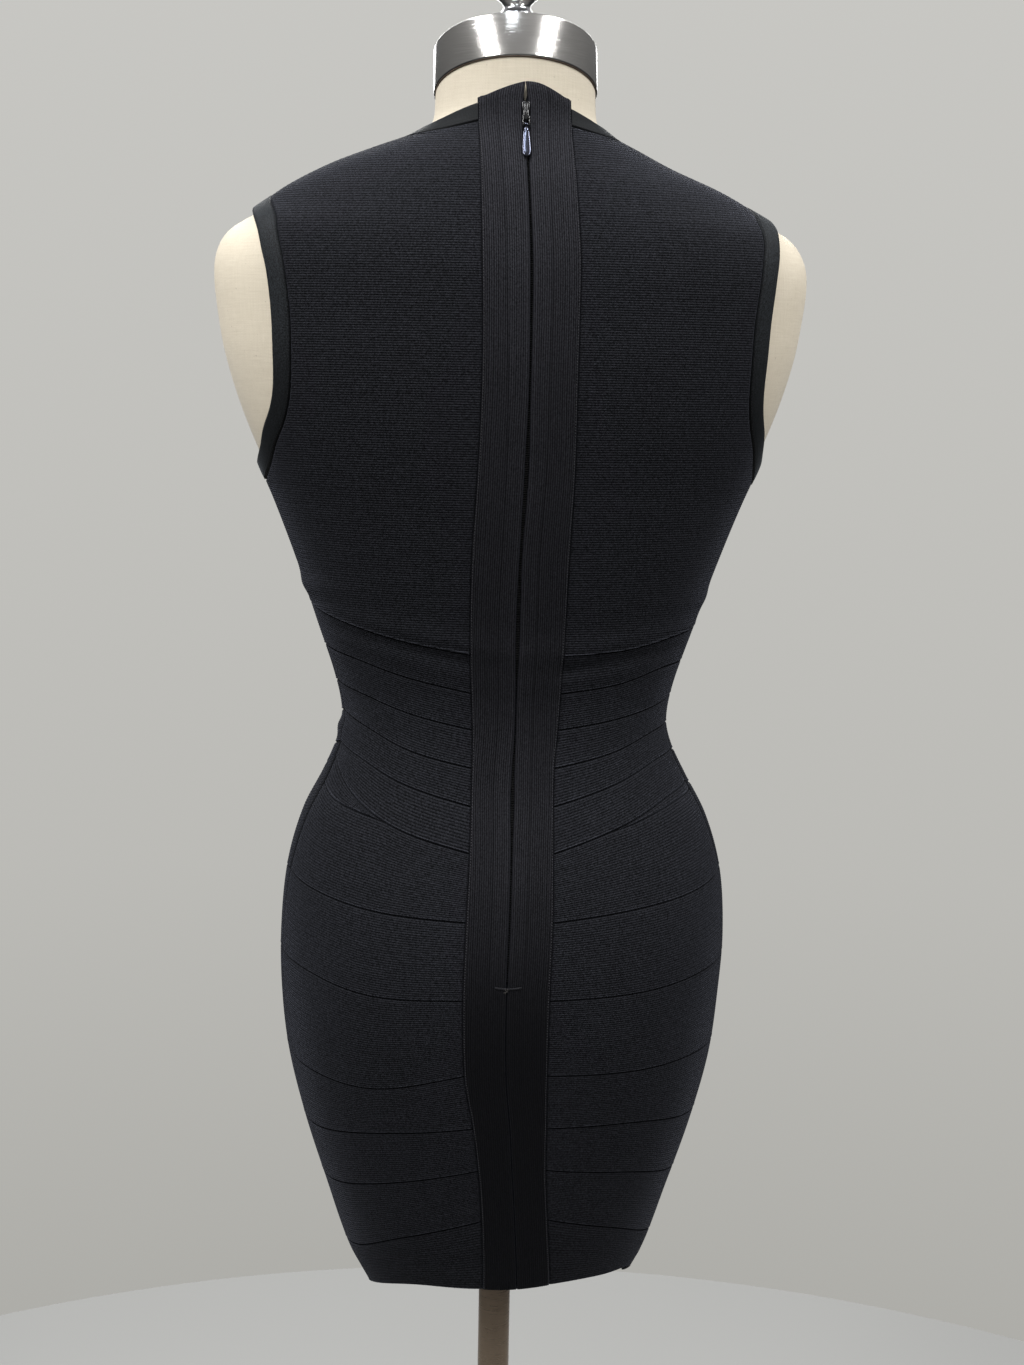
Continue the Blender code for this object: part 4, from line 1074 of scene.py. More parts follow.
def neckband(node, material):
    rows = [neckband_places(NECKBAND_WIDTH * part, *NECK_COLUMNS) for part in BAND_PARTS[::-1]]
    angle, height = stacked(rows)
    lift = band_profile(BAND_PARTS[::-1], WALL)[:, None] * np.ones(angle.shape)
    points = laid(angle, height, lift)
    lengths = run_lengths(points[len(points) // 2]) * 0.33
    part = BAND_PARTS[::-1, None]
    tone = NECKBAND_TONE * binding_seam_shade(part, NECKBAND_WIDTH)
    outer = plain_sheet(points, knit_places(lengths[None, :], part * NECKBAND_WIDTH, tone))
    inner_rows = [neckband_places(NECKBAND_WIDTH * part, *INNER_NECK_COLUMNS) for part in INNER_PARTS[::-1]]
    angle, height = stacked(inner_rows)
    inner = plain_sheet(laid(angle, height), np.ones((*angle.shape, 3)))
    plain_piece(node, outer, inner, material, "binding")


def armhole_ring(side, distance, steps):
    """A closed ring of places at a distance from the armhole's edge."""
    back = armhole_edge(side, "back", steps)
    front = armhole_edge(side, "front", steps)
    angle = np.concatenate((back[0], front[0][-2:0:-1]))
    height = np.concatenate((back[1], front[1][-2:0:-1]))
    if distance:
        angle, height = off_the_armhole(angle, height, distance)
    return turned(side, angle), height


def armhole_binding(node, side, material):
    rows = [armhole_ring(side, BINDING_WIDTH * part, ARM_STEPS) for part in BAND_PARTS]
    angle, height = stacked(rows)
    lift = band_profile(BAND_PARTS, BINDING_WALL)[:, None] * np.ones(angle.shape)
    points = laid(angle, height, lift)
    middle = points[len(BAND_PARTS) // 2]
    closed = np.concatenate((middle, middle[:1]))
    along = run_lengths(closed) * run_length(closed)
    part = BAND_PARTS[:, None]
    # Painted shade: the binding darkens towards its lower end, where less light falls.
    lit = 0.45 + 0.60 * ease((height - 1.37) / 0.09)
    lit = np.concatenate((lit, lit[:, :1]), axis=1)
    uv = knit_places(along[None, :], part * BINDING_WIDTH, lit * binding_seam_shade(part, BINDING_WIDTH))
    outer = ring_sheet(points, uv)
    inner_rows = [armhole_ring(side, BINDING_WIDTH * part, INNER_ARM_STEPS) for part in INNER_PARTS]
    angle, height = stacked(inner_rows)
    inner_uv = np.ones((angle.shape[0], angle.shape[1] + 1, 3))
    inner = ring_sheet(laid(angle, height), inner_uv)
    plain_piece(node, outer, inner, material, "binding")


# Materials

class Wire:
    """An output in a material's tree; arithmetic on it adds Math nodes."""

    def __init__(self, tree, socket):
        self.tree = tree
        self.socket = socket

    def maths(self, operation, *values):
        node = self.tree.nodes.new("ShaderNodeMath")
        node.operation = operation
        for slot, value in zip(node.inputs, values):
            connect(self.tree, slot, value)
        return Wire(self.tree, node.outputs[0])

    def __add__(self, other):
        return self.maths("ADD", self, other)

    def __radd__(self, other):
        return self.maths("ADD", other, self)

    def __sub__(self, other):
        return self.maths("SUBTRACT", self, other)

    def __mul__(self, other):
        return self.maths("MULTIPLY", self, other)

    def __pow__(self, other):
        return self.maths("POWER", self, other)

    def sine(self):
        return self.maths("SINE", self)

    def size(self):
        return self.maths("ABSOLUTE", self)

    def within(self):
        node = self.tree.nodes.new("ShaderNodeClamp")
        connect(self.tree, node.inputs[0], self)
        return Wire(self.tree, node.outputs[0])


def connect(tree, slot, value):
    """Link a wire to a socket, or set the socket's own value."""
    if isinstance(value, Wire):
        tree.links.new(value.socket, slot)
    elif isinstance(value, (tuple, list)) and slot.type == "RGBA" and len(value) == 3:
        slot.default_value = (*value, 1.0)
    else:
        slot.default_value = value


class Finish:
    """A material under construction, with one shader and the nodes that feed it."""

    def __init__(self, name, **sockets):
        self.material = bpy.data.materials.new(name)
        self.material.use_nodes = True
        self.tree = self.material.node_tree
        self.shader = self.tree.nodes["Principled BSDF"]
        self.set(**sockets)

    def set(self, **sockets):
        for name, value in sockets.items():
            connect(self.tree, self.shader.inputs[name.replace("_", " ")], value)

    def node(self, kind, settings=None, output=0, **sockets):
        """Add a node of a kind: its settings first, then the values or links of its sockets."""
        node = self.tree.nodes.new("ShaderNode" + kind)
        for name, value in (settings or {}).items():
            if name == "stops":
                set_stops(node.color_ramp, value)
            else:
                setattr(node, name, value)
        for name, value in sockets.items():
            slot = next(s for s in node.inputs if s.name == name.replace("_", " ") and s.enabled)
            connect(self.tree, slot, value)
        return Wire(self.tree, node.outputs[output])

    def object_place(self):
        return self.node("TexCoord", output=3)

    def knit_place(self):
        """Metres along the ribs and the rib number, from the knit's own map."""
        uv = self.node("UVMap", {"uv_map": "knit"})
        return tuple(self.node("SeparateXYZ", output=part, Vector=uv) for part in (0, 1))

    def cloth_tone(self):
        """How light the cloth is, as its mesh says, painted shade and highlights included."""
        return self.node("Attribute", {"attribute_name": "tone"}, output=2)

    def noise(self, place, scale, detail=2.0, rough=0.5):
        return self.node("TexNoise", Vector=place, Scale=scale, Detail=detail, Roughness=rough)

    def stretched(self, place, scale):
        return self.node("Mapping", {"vector_type": "POINT"}, Vector=place, Scale=scale)

    def mix(self, factor, first, second):
        """A colour between two colours."""
        node = self.tree.nodes.new("ShaderNodeMix")
        node.data_type = "RGBA"
        for slot, value in ((0, factor), (6, first), (7, second)):
            connect(self.tree, node.inputs[slot], value)
        return Wire(self.tree, node.outputs[2])

    def bump(self, height, distance, strength):
        return self.node("Bump", Height=height, Distance=distance, Strength=strength)


def set_stops(ramp, stops):
    while len(ramp.elements) > len(stops):
        ramp.elements.remove(ramp.elements[-1])
    while len(ramp.elements) < len(stops):
        ramp.elements.new(0.5)
    for element, (place, colour) in zip(ramp.elements, stops):
        element.position = place
        element.color = (*colour, 1.0)


def knit_finish(name, valley, crest, ribs_up=False, streak=0.28, ribbed=0.90, fuzz=2.8, roughness=0.80):
    """Fine ribbed viscose knit: painted shade in the rib valleys, painted light on the crests, small loops
    and a little fuzz.
    """
    finish = Finish(name, Sheen_Weight=0.07, Sheen_Roughness=0.40, Specular_IOR_Level=0.08)
    finish.set(Sheen_Tint=(0.75, 0.80, 1.0))
    along, across = finish.knit_place()
    if ribs_up:
        along, across = across, along
    crest_share = (across * math.pi).sine().size()
    loops = (along * (2 * math.pi / LOOP_PITCH) + (across * math.pi).sine() * 1.4).sine()
    place = finish.object_place()
    broad = finish.noise(place, 14.0, 2.0)
    fine = finish.noise(place, 800.0, 2.0)
    streaks = finish.node("TexNoise", {"noise_dimensions": "1D"}, W=across * 0.9, Scale=1.0, Detail=1.0)
    shade = finish.cloth_tone()
    # The rib pattern paints shade in the valleys and light on the crests.
    knit = crest_share ** 0.8 * ribbed + loops * 0.08 + (fine - 0.5) * fuzz + (streaks - 0.5) * streak
    tone = ((knit + broad * 0.30 + 0.35 - ribbed * 0.6) * shade * 0.55).within()
    finish.set(Base_Color=finish.mix(tone, valley, crest))
    finish.set(Roughness=(roughness + broad * 0.14 - fine * 0.10).within())
    relief = crest_share * 0.6 + loops * 0.22 + fine * 0.9
    finish.set(Normal=finish.bump(relief, 0.00030, 0.75))
    return finish.material


def binding_finish():
    """Smooth close-knit tape, with a slight satin sheen and fine cross lines."""
    finish = Finish("binding_tape", Sheen_Weight=0.05, Sheen_Roughness=0.35, Specular_IOR_Level=0.14)
    finish.set(Sheen_Tint=(0.78, 0.86, 0.95))
    along, across = finish.knit_place()
    cross = (along * (2 * math.pi / 0.0010)).sine()
    lines = (across * (2 * math.pi / 0.0011)).sine()
    place = finish.object_place()
    fine = finish.noise(place, 1100.0, 2.0)
    broad = finish.noise(place, 20.0, 1.0)
    shade = finish.cloth_tone()
    tone = ((cross * 0.16 + lines * 0.10 + (fine - 0.5) * 2.6 + 0.42 + broad * 0.20) * shade).within()
    finish.set(Base_Color=finish.mix(tone, (0.0013, 0.0016, 0.0019), (0.0200, 0.0232, 0.0265)))
    finish.set(Roughness=(0.60 + fine * 0.16).within())
    finish.set(Normal=finish.bump(cross * 0.35 + lines * 0.2 + fine * 0.5, 0.00015, 0.5))
    return finish.material


def linen_finish():
    """Cream linen stretched over the form, plain weave with slubs and small dark flecks."""
    finish = Finish("linen", Sheen_Weight=0.10, Specular_IOR_Level=0.20)
    place = finish.object_place()
    x = finish.node("SeparateXYZ", output=0, Vector=place)
    z = finish.node("SeparateXYZ", output=2, Vector=place)
    warp = (x * (2 * math.pi / 0.0010)).sine()
    weft = (z * (2 * math.pi / 0.0010)).sine()
    slubs = finish.noise(finish.stretched(place, (60.0, 60.0, 900.0)), 1.0, 3.0)
    upright = finish.noise(finish.stretched(place, (900.0, 900.0, 60.0)), 1.0, 3.0)
    broad = finish.noise(place, 9.0, 3.0)
    flecks = finish.noise(place, 420.0, 2.0)
    fleck = ((flecks - 0.70) * 9.0).within()
    tone = (0.25 + slubs * 0.35 + upright * 0.30 + broad * 0.35 + warp * weft * 0.05 - 0.20).within()
    colour = finish.mix(tone, (0.50, 0.43, 0.32), (0.78, 0.71, 0.58))
    finish.set(Base_Color=finish.mix(fleck * 0.45, colour, (0.22, 0.17, 0.12)))
    finish.set(Roughness=(0.80 + broad * 0.10).within())
    finish.set(Normal=finish.bump(warp * weft * 0.4 + slubs + upright, 0.0002, 0.5))
    return finish.material


def brushed_finish(name, dark, light, roughness, scale, strength=0.3):
    """Metal brushed round its axis: fine level scratches and faint patches."""
    finish = Finish(name, Metallic=1.0, Anisotropic=0.6)
    place = finish.object_place()
    scratches = finish.noise(finish.stretched(place, scale), 1.0, 3.0, 0.6)
    patches = finish.noise(place, 30.0, 2.0)
    finish.set(Base_Color=finish.mix((scratches * 0.7 + patches * 0.4).within(), dark, light))
    finish.set(Roughness=(roughness + scratches * 0.16 + patches * 0.06 - 0.08).within())
    finish.set(Normal=finish.bump(scratches, 0.0001, strength))
    return finish.material


def polished_finish(name, colour, roughness, metallic=1.0, coat=0.0):
    """Polished metal or enamel with faint smears."""
    finish = Finish(name, Metallic=metallic, Coat_Weight=coat)
    place = finish.object_place()
    smears = finish.noise(place, 160.0, 3.0)
    shade = tuple(c * 0.82 for c in colour)
    finish.set(Base_Color=finish.mix(smears, shade, colour))
    finish.set(Roughness=(roughness + smears * roughness).within())
    return finish.material


def thread_finish(name, dark, light):
    finish = Finish(name, Sheen_Weight=0.05, Roughness=0.7, Specular_IOR_Level=0.15)
    twist = finish.noise(finish.object_place(), 1500.0, 2.0)
    finish.set(Base_Color=finish.mix(twist, dark, light))
    return finish.material


def iron_finish():
    """Cast base plate with a hammered black coat."""
    finish = Finish("hammered_iron", Metallic=0.5)
    place = finish.object_place()
    lumps = finish.node("TexVoronoi", {"feature": "SMOOTH_F1"}, Vector=place, Scale=190.0)
    grain = finish.noise(place, 500.0)
    tone = (lumps + grain * 0.4).within()
    finish.set(Base_Color=finish.mix(tone, (0.018, 0.018, 0.020), (0.050, 0.050, 0.055)))
    finish.set(Roughness=(0.36 + grain * 0.2).within())
    finish.set(Normal=finish.bump(lumps, 0.0006, 0.4))
    return finish.material


def plain_finish(name, colour, roughness):
    finish = Finish(name)
    place = finish.object_place()
    broad = finish.noise(place, 1.5, 2.0)
    finish.set(Base_Color=finish.mix(broad, tuple(c * 0.985 for c in colour), colour))
    finish.set(Roughness=roughness)
    return finish.material


# Repeats along a path

def add_node(tree, kind, *inputs, output=0, **settings):
    """Add a node: its settings first, then a value or a link for each named input."""
    node = tree.nodes.new(kind)
    for name, value in settings.items():
        setattr(node, name, value)
    for slot, value in inputs:
        if isinstance(value, bpy.types.NodeSocket):
            tree.links.new(value, node.inputs[slot])
        else:
            node.inputs[slot].default_value = value
    return node.outputs[output]


def path_tree():
    """Geometry nodes that lay small beads along a path: stitches, zip teeth and threads."""
    tree = bpy.data.node_groups.new("beads_on_a_path", "GeometryNodeTree")
    face = tree.interface
    face.new_socket("Path", in_out="INPUT", socket_type="NodeSocketGeometry")
    for name in ("Pitch", "Length", "Width", "Height", "Turn", "Uneven"):
        face.new_socket(name, in_out="INPUT", socket_type="NodeSocketFloat")
    face.new_socket("Seed", in_out="INPUT", socket_type="NodeSocketInt")
    face.new_socket("Finish", in_out="INPUT", socket_type="NodeSocketMaterial")
    face.new_socket("Beads", in_out="OUTPUT", socket_type="NodeSocketGeometry")
    given = tree.nodes.new("NodeGroupInput").outputs
    curve = add_node(tree, "GeometryNodeMeshToCurve", (0, given["Path"]))
    spaced = add_node(tree, "GeometryNodeResampleCurve", ("Curve", curve), ("Length", given["Pitch"]),
                      mode="LENGTH")
    bead = add_node(tree, "GeometryNodeMeshUVSphere", ("Segments", 6), ("Rings", 4), ("Radius", 0.5))
    size = add_node(tree, "ShaderNodeCombineXYZ", (0, given["Length"]), (1, given["Width"]),
                    (2, given["Height"]))
    shaped = add_node(tree, "GeometryNodeTransform", ("Geometry", bead), ("Scale", size))
    tangent = add_node(tree, "GeometryNodeInputTangent")
    outward = add_node(tree, "GeometryNodeInputNamedAttribute", ("Name", "outward"),
                       data_type="FLOAT_VECTOR")
    facing = add_node(tree, "FunctionNodeAxesToRotation", ("Primary Axis", outward),
                      ("Secondary Axis", tangent), primary_axis="Z", secondary_axis="X")
    low = add_node(tree, "ShaderNodeMath", (0, given["Uneven"]), (1, -1.0), operation="MULTIPLY")
    uneven = add_node(tree, "FunctionNodeRandomValue", (2, low), (3, given["Uneven"]),
                      ("Seed", given["Seed"]), output=1, data_type="FLOAT")
    turn = add_node(tree, "ShaderNodeMath", (0, given["Turn"]), (1, uneven))
    spin = add_node(tree, "FunctionNodeAxisAngleToRotation", ("Angle", turn))
    placed = add_node(tree, "FunctionNodeRotateRotation", ("Rotation", facing), ("Rotate By", spin),
                      rotation_space="LOCAL")
    laid_out = add_node(tree, "GeometryNodeInstanceOnPoints", ("Points", spaced), ("Instance", shaped),
                        ("Rotation", placed))
    real = add_node(tree, "GeometryNodeRealizeInstances", (0, laid_out))
    coloured = add_node(tree, "GeometryNodeSetMaterial", ("Geometry", real), ("Material", given["Finish"]))
    tree.links.new(coloured, tree.nodes.new("NodeGroupOutput").inputs[0])
    return tree


def beads(name, paths, tree, finish, slot, **sizes):
    """Lay beads along paths of (points, outward) and keep the result as a plain mesh."""
    points = np.concatenate([path for path, _ in paths])
    outward = np.concatenate([way for _, way in paths])
    edges = []
    shift = 0
    for path, _ in paths:
        edges += [(shift + i, shift + i + 1) for i in range(len(path) - 1)]
        shift += len(path)
    mesh = bpy.data.meshes.new(name + "_path")
    mesh.from_pydata(points.tolist(), edges, [])
    attribute = mesh.attributes.new("outward", "FLOAT_VECTOR", "POINT")
    attribute.data.foreach_set("vector", outward.astype(np.float32).ravel())
    guide = shown(name + "_path", mesh)
    maker = guide.modifiers.new("beads", "NODES")
    maker.node_group = tree
    values = {"Finish": finish, "Seed": len(name), "Uneven": 0.08, "Turn": 0.0, **sizes}
    for item in tree.interface.items_tree:
        if item.in_out == "INPUT" and item.name in values:
            maker[item.identifier] = values[item.name]
    evaluated = guide.evaluated_get(bpy.context.evaluated_depsgraph_get())
    result = bpy.data.meshes.new_from_object(evaluated)
    result.name = name
    bpy.data.objects.remove(guide)
    result.shade_smooth()
    piece = shown(name, result)
    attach(piece, "root")


def path_on_cloth(angle, height, lift):
    """A run of points on the cloth with the way out of it at each."""
    return laid(angle, height, lift), figure_normals(angle, height)


def strip_line(side, low, high, from_edge, lift, step=0.004):
    """A line up the strip, at a distance from its sewn edge."""
    height = np.linspace(low, high, max(int((high - low) / step), 2))
    aside = smooth(STRIP, 2, height) - from_edge
    angle = back_angle(smooth(STRIP, 1, height) + side * aside, height)
    return path_on_cloth(angle, height, lift)


STITCH_INSET = 0.0011
FINE_STITCH = {"Pitch": 0.0021, "Length": 0.0013, "Width": 0.0003, "Height": 0.0003}


def stitches(tree, thread, worn):
    """The sewing that shows along the strip's edges, the armholes and the neckband's seam."""
    strip_low = SEAMS[0][0] + 0.002
    edges = [strip_line(side, strip_low, STRIP_TOP_EDGE - 0.001, 0.0009, STRIP_WALL + 0.0001)
             for side in (1, -1)]
    beads("strip_edge_stitches", edges, tree, worn, "strip_knit",
          Pitch=0.0019, Length=0.0011, Width=0.0005, Height=0.0004, Turn=0.35)
    arms = []
    for side in (1, -1):
        angle, height = armhole_ring(side, BINDING_WIDTH - STITCH_INSET, ARM_STEPS)
        angle = np.append(angle, angle[0])
        height = np.append(height, height[0])
        arms.append(path_on_cloth(angle, height, BINDING_WALL + 0.0001))
    beads("armhole_stitches", arms, tree, thread, "binding", **FINE_STITCH)
    angle, height = neckband_places(NECKBAND_WIDTH - STITCH_INSET, *NECK_COLUMNS)
    neck = path_on_cloth(angle, height, WALL + 0.0001)
    beads("neck_stitches", [neck], tree, thread, "binding", **FINE_STITCH)


def bar_tack(tree, thread, pale):
    """The close zigzag that ends the zip, slightly bowed, with two short pale thread ends."""
    along = np.linspace(-1, 1, 41)
    height = ZIP_END - 0.0008 + 0.0009 * along ** 2
    centre = smooth(STRIP, 1, height)
    angle = back_angle(centre - 0.0008 + 0.0090 * along, height)
    path = path_on_cloth(angle, height, STRIP_WALL + 0.0003)
    beads("bar_tack", [path], tree, thread, "strip_knit",
          Pitch=0.00045, Length=0.0017, Width=0.0005, Height=0.0007, Turn=1.45, Uneven=0.2)
    tufts = []
    for turn, drop, aside in ((0.5, 0.0022, 0.0012), (-0.7, 0.0028, -0.0002)):
        t = np.linspace(0, 1, 14)
        side = smooth(STRIP, 1, ZIP_END) + aside + 0.0016 * np.sin(turn * 4 + t * 5) * t
        low = ZIP_END - 0.0008 - drop * t
        tufts.append(path_on_cloth(back_angle(side, low), low, STRIP_WALL + 0.0006 + 0.0007 * t))
    beads("tack_thread_ends", tufts, tree, pale, "strip_knit",
          Pitch=0.0005, Length=0.0009, Width=0.0003, Height=0.0003, Uneven=0.3)


# The zip

TEETH_PART = 1.5865


def tape_wall(side):
    """One half of the zip's tape, under the strip from the slit outwards."""
    height = np.linspace(ZIP_END - 0.012, STRIP_TOP_MIDDLE - 0.004, 130)[:, None]
    opening = 0.0013 * ease((height - TEETH_PART) / 0.0025)
    reach = np.array([0.0, 0.001, 0.004, 0.009])[None, :]
    centre = smooth(STRIP, 1, height)
    angle = back_angle(centre + side * (opening + reach), height)
    uv = knit_places(reach / STRIP_RIB_PITCH, height, 0.25)
    outer, inner = (plain_sheet(laid(angle, height, lift), uv) for lift in (-0.0013, -0.0018))
    return closed_wall(outer, inner)


def zip_tapes(material):
    points, faces, corners = join_walls([tape_wall(1), tape_wall(-1)])
    piece = mesh_object("zip_tapes", points, faces, material, corners)
    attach(piece, "root")


def zip_teeth(tree, finish):
    """Coil teeth on both tapes, closed below the slider and parted above it."""
    rows = []
    for side in (1, -1):
        height = np.linspace(ZIP_END + 0.004, STRIP_TOP_MIDDLE - 0.009, 300)
        opening = 0.0006 + 0.0012 * ease((height - TEETH_PART) / 0.0025)
        angle = back_angle(smooth(STRIP, 1, height) + side * opening, height)
        rows.append(path_on_cloth(angle, height, -0.0008))
    beads("zip_teeth", rows, tree, finish, "zip_metal",
          Pitch=0.0012, Length=0.0006, Width=0.0018, Height=0.0012, Uneven=0.02)


SLIDER_HEIGHT = 1.5775
SLIDER_LENGTH = 0.0130
SLIDER_WIDTH = 0.0052
SLIDER_THICKNESS = 0.0022
SLIDER_CLEARANCE = 0.0010
EAR_WIDTH = 0.0008
EAR_SPACING = 0.0036
EAR_REACH = 0.0011
PIN_RADIUS = 0.0005
BARREL_RADIUS = 0.0014
BARREL_BORE = 0.0009
BARREL_WIDTH = 0.0020
PIN_DROP = 0.0102
PIN_LIFT = 0.0038
TAB_OUTLINE = [
    # below_pin, half_width
    (0.0009, 0.0008),
    (0.0035, 0.0012),
    (0.0050, 0.0019),
    (0.0100, 0.0023),
    (0.0150, 0.0026),
    (0.0195, 0.0028),
    (0.0225, 0.0026),
    (0.0242, 0.0018),
    (0.0250, 0.0006),
]
TAB_THICKNESS = 0.0014
TAB_HANG = math.radians(29.4)


def slider_placing():
    """The slider's place on the strip: X across, Y outward, Z up the cloth."""
    angle = back_angle(smooth(STRIP, 1, SLIDER_HEIGHT), SLIDER_HEIGHT)
    normal = figure_normals(angle, SLIDER_HEIGHT)
    outward = Vector((0, normal[1], normal[2])).normalized()
    across = Vector((1, 0, 0))
    up = across.cross(outward)
    origin = Vector(figure_points(angle, SLIDER_HEIGHT)) + outward * STRIP_WALL
    placing = Matrix.Identity(4)
    for column, axis in enumerate((across, outward, up, origin)):
        for row in range(3):
            placing[row][column] = axis[row]
    return placing


def solid(bm, placing, low, high, bevel):
    """Add a rounded block between two corners to a mesh under construction."""
    verts = bmesh.ops.create_cube(bm, size=1.0)["verts"]
    size = [high[axis] - low[axis] for axis in range(3)]
    middle = [(high[axis] + low[axis]) / 2 for axis in range(3)]
    bmesh.ops.scale(bm, vec=size, verts=verts)
    bmesh.ops.translate(bm, vec=middle, verts=verts)
    edges = list({edge for vert in verts for edge in vert.link_edges})
    made = bmesh.ops.bevel(bm, geom=edges, offset=bevel, segments=3, profile=0.5, affect="EDGES")
    bmesh.ops.transform(bm, matrix=placing, verts=list({v for f in made["faces"] for v in f.verts}))


def lathe(bm, profile, placing=Matrix.Identity(4), sides=96, closed=False):
    """Add a turned solid from its profile of (height, radius); a closed profile makes a ring."""
    turns = [2 * math.pi * side / sides for side in range(sides)]
    rings = []
    for height, radius in profile:
        places = [(radius * math.cos(turn), radius * math.sin(turn), height) for turn in turns]
        rings.append([bm.verts.new(placing @ Vector(place)) for place in (places if radius else places[:1])])
    for lower, upper in zip(rings, rings[1:] + rings[:1] if closed else rings[1:]):
        for side in range(sides):
            after = (side + 1) % sides
            if len(lower) == 1:
                bm.faces.new((lower[0], upper[after], upper[side]))
            elif len(upper) == 1:
                bm.faces.new((lower[side], lower[after], upper[0]))
            else:
                bm.faces.new((lower[side], lower[after], upper[after], upper[side]))


# Turns the upright axis of a turned solid to X
ALONG_X = Matrix(((0, 0, 1, 0), (1, 0, 0, 0), (0, 1, 0, 0), (0, 0, 0, 1)))


def rod(bm, placing, radius, length, sides=20, bore=0.0, edge=0.0001):
    """Add a round rod along X, with a bore through it if it has one."""
    half = length / 2
    profile = [(-half, bore), (-half, radius - edge), (-half + edge, radius), (half - edge, radius),
               (half, radius - edge), (half, bore)]
    lathe(bm, profile, placing @ ALONG_X, sides, closed=bool(bore))


def metal_piece(name, bm, material, nodes, body, sharp=40):
    bmesh.ops.recalc_face_normals(bm, faces=bm.faces)
    mesh = bpy.data.meshes.new(name)
    bm.to_mesh(mesh)
    bm.free()
    mesh.materials.append(material)
    mesh.shade_smooth()
    mesh.set_sharp_from_angle(angle=math.radians(sharp))
    piece = shown(name, mesh)
    if nodes:
        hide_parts(*nodes)
    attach(piece, body)


def zip_slider(placing, material):
    """The slider: a waisted body, a bridge over it and two ears that hold the pin."""
    bm = bmesh.new()
    half = SLIDER_LENGTH / 2
    wide = SLIDER_WIDTH / 2
    base = SLIDER_CLEARANCE
    plate = base + 0.0013
    top = base + SLIDER_THICKNESS
    inner = EAR_SPACING / 2
    blocks = [
        ((-wide, base, 0.0002), (wide, plate, half), 0.0005),
        ((-wide * 0.74, base, -half), (wide * 0.74, plate, 0.0010), 0.0005),
        ((-0.0011, base + 0.0008, -half), (0.0011, top, half * 0.75), 0.0005),
    ]
    for side in (-1, 1):
        near, far = sorted((side * inner, side * (inner + EAR_WIDTH)))
        blocks += [
            ((near, PIN_LIFT - EAR_REACH, -PIN_DROP - EAR_REACH), (far, PIN_LIFT + EAR_REACH, -half), 0.0003),
            ((near, base + 0.0004, -half - 0.0006), (far, PIN_LIFT + 0.0009, -half + 0.0020), 0.0003),
        ]
    for low, high, bevel in blocks:
        solid(bm, placing, low, high, bevel)
    rod(bm, placing @ Matrix.Translation((0, PIN_LIFT, -PIN_DROP)), PIN_RADIUS, EAR_SPACING + EAR_WIDTH)
    metal_piece("zip_slider_body", bm, material, ["zip_slider"], "root")


def zip_pull_tab(placing, material):
    """The teardrop tab, crowned on both faces, with the barrel that turns on the pin."""
    bm = bmesh.new()
    pin = placing @ Vector((0, PIN_LIFT, -PIN_DROP))
    hanging = Matrix.Translation(pin) @ Matrix.Rotation(TAB_HANG, 4, "X")
    steps = 26
    start = TAB_OUTLINE[0][0]
    end = TAB_OUTLINE[-1][0]
    below = start + (end - start) * (1 - np.cos(np.linspace(0, math.pi, steps))) / 2
    half_width = smooth(TAB_OUTLINE, 1, below)
    right_side = list(zip(half_width, -below))
    outline = right_side + [(-x, z) for x, z in right_side[::-1]]
    middle = -(start + end) * 0.6
    half = TAB_THICKNESS / 2
    rings = []
    for shrink, lift in ((0.35, 1.0), (0.62, 0.93), (0.84, 0.70), (0.96, 0.38), (1.0, 0.0)):
        closer = 0.2 + 0.8 * shrink
        rings.append([(x * shrink, -half * lift, middle + (z - middle) * closer) for x, z in outline])
    rings += [[(x, -y, z) for x, y, z in ring] for ring in rings[-2::-1]]
    loops = [[bm.verts.new(hanging @ Vector(point)) for point in ring] for ring in rings]
    count = len(outline)
    for lower, upper in zip(loops, loops[1:]):
        for column in range(count):
            after = (column + 1) % count
            bm.faces.new((lower[column], lower[after], upper[after], upper[column]))
    for loop in (loops[0], loops[-1]):
        for step in range(steps - 1):
            bm.faces.new((loop[step], loop[step + 1], loop[count - 2 - step], loop[count - 1 - step]))
    rod(bm, hanging, BARREL_RADIUS, BARREL_WIDTH, sides=24, bore=BARREL_BORE, edge=0.0002)
    metal_piece("zip_pull_tab_drop", bm, material, ["zip_pull_tab"], "pull_tab", sharp=60)


# The dress form and stand

FORM_BOTTOM = 0.8340
FORM_INSET = 0.0080
FORM_ROUND = 0.0060
FORM_SIDES = 200
NECK_TILT = math.radians(20)
NECK_TOP = 1.5960
CAP_RADIUS = 0.0573
CAP_HEIGHT = 0.0320
CORD_RADIUS = 0.0004
CORD_RING = 0.0562
POLE_RADIUS = 0.0120
BASE_RADIUS = 0.1800
BASE_HEIGHT = 0.0140
HUB_RADIUS = 0.0300
HUB_HEIGHT = 0.0500
BASE_ROUND = 0.0032
FINIAL_PROFILE = [
    # height, radius
    (1.6100, 0.0160),
    (1.6380, 0.0160),
    (1.6410, 0.0150),
    (1.6440, 0.0112),
    (1.6470, 0.0106),
    (1.6500, 0.0120),
    (1.6525, 0.0104),
    (1.6550, 0.0092),
    (1.6580, 0.0112),
    (1.6610, 0.0145),
    (1.6660, 0.0172),
    (1.6720, 0.0185),
    (1.6790, 0.0184),
    (1.6860, 0.0166),
    (1.6920, 0.0130),
    (1.6960, 0.0085),
    (1.6980, 0.0035),
]


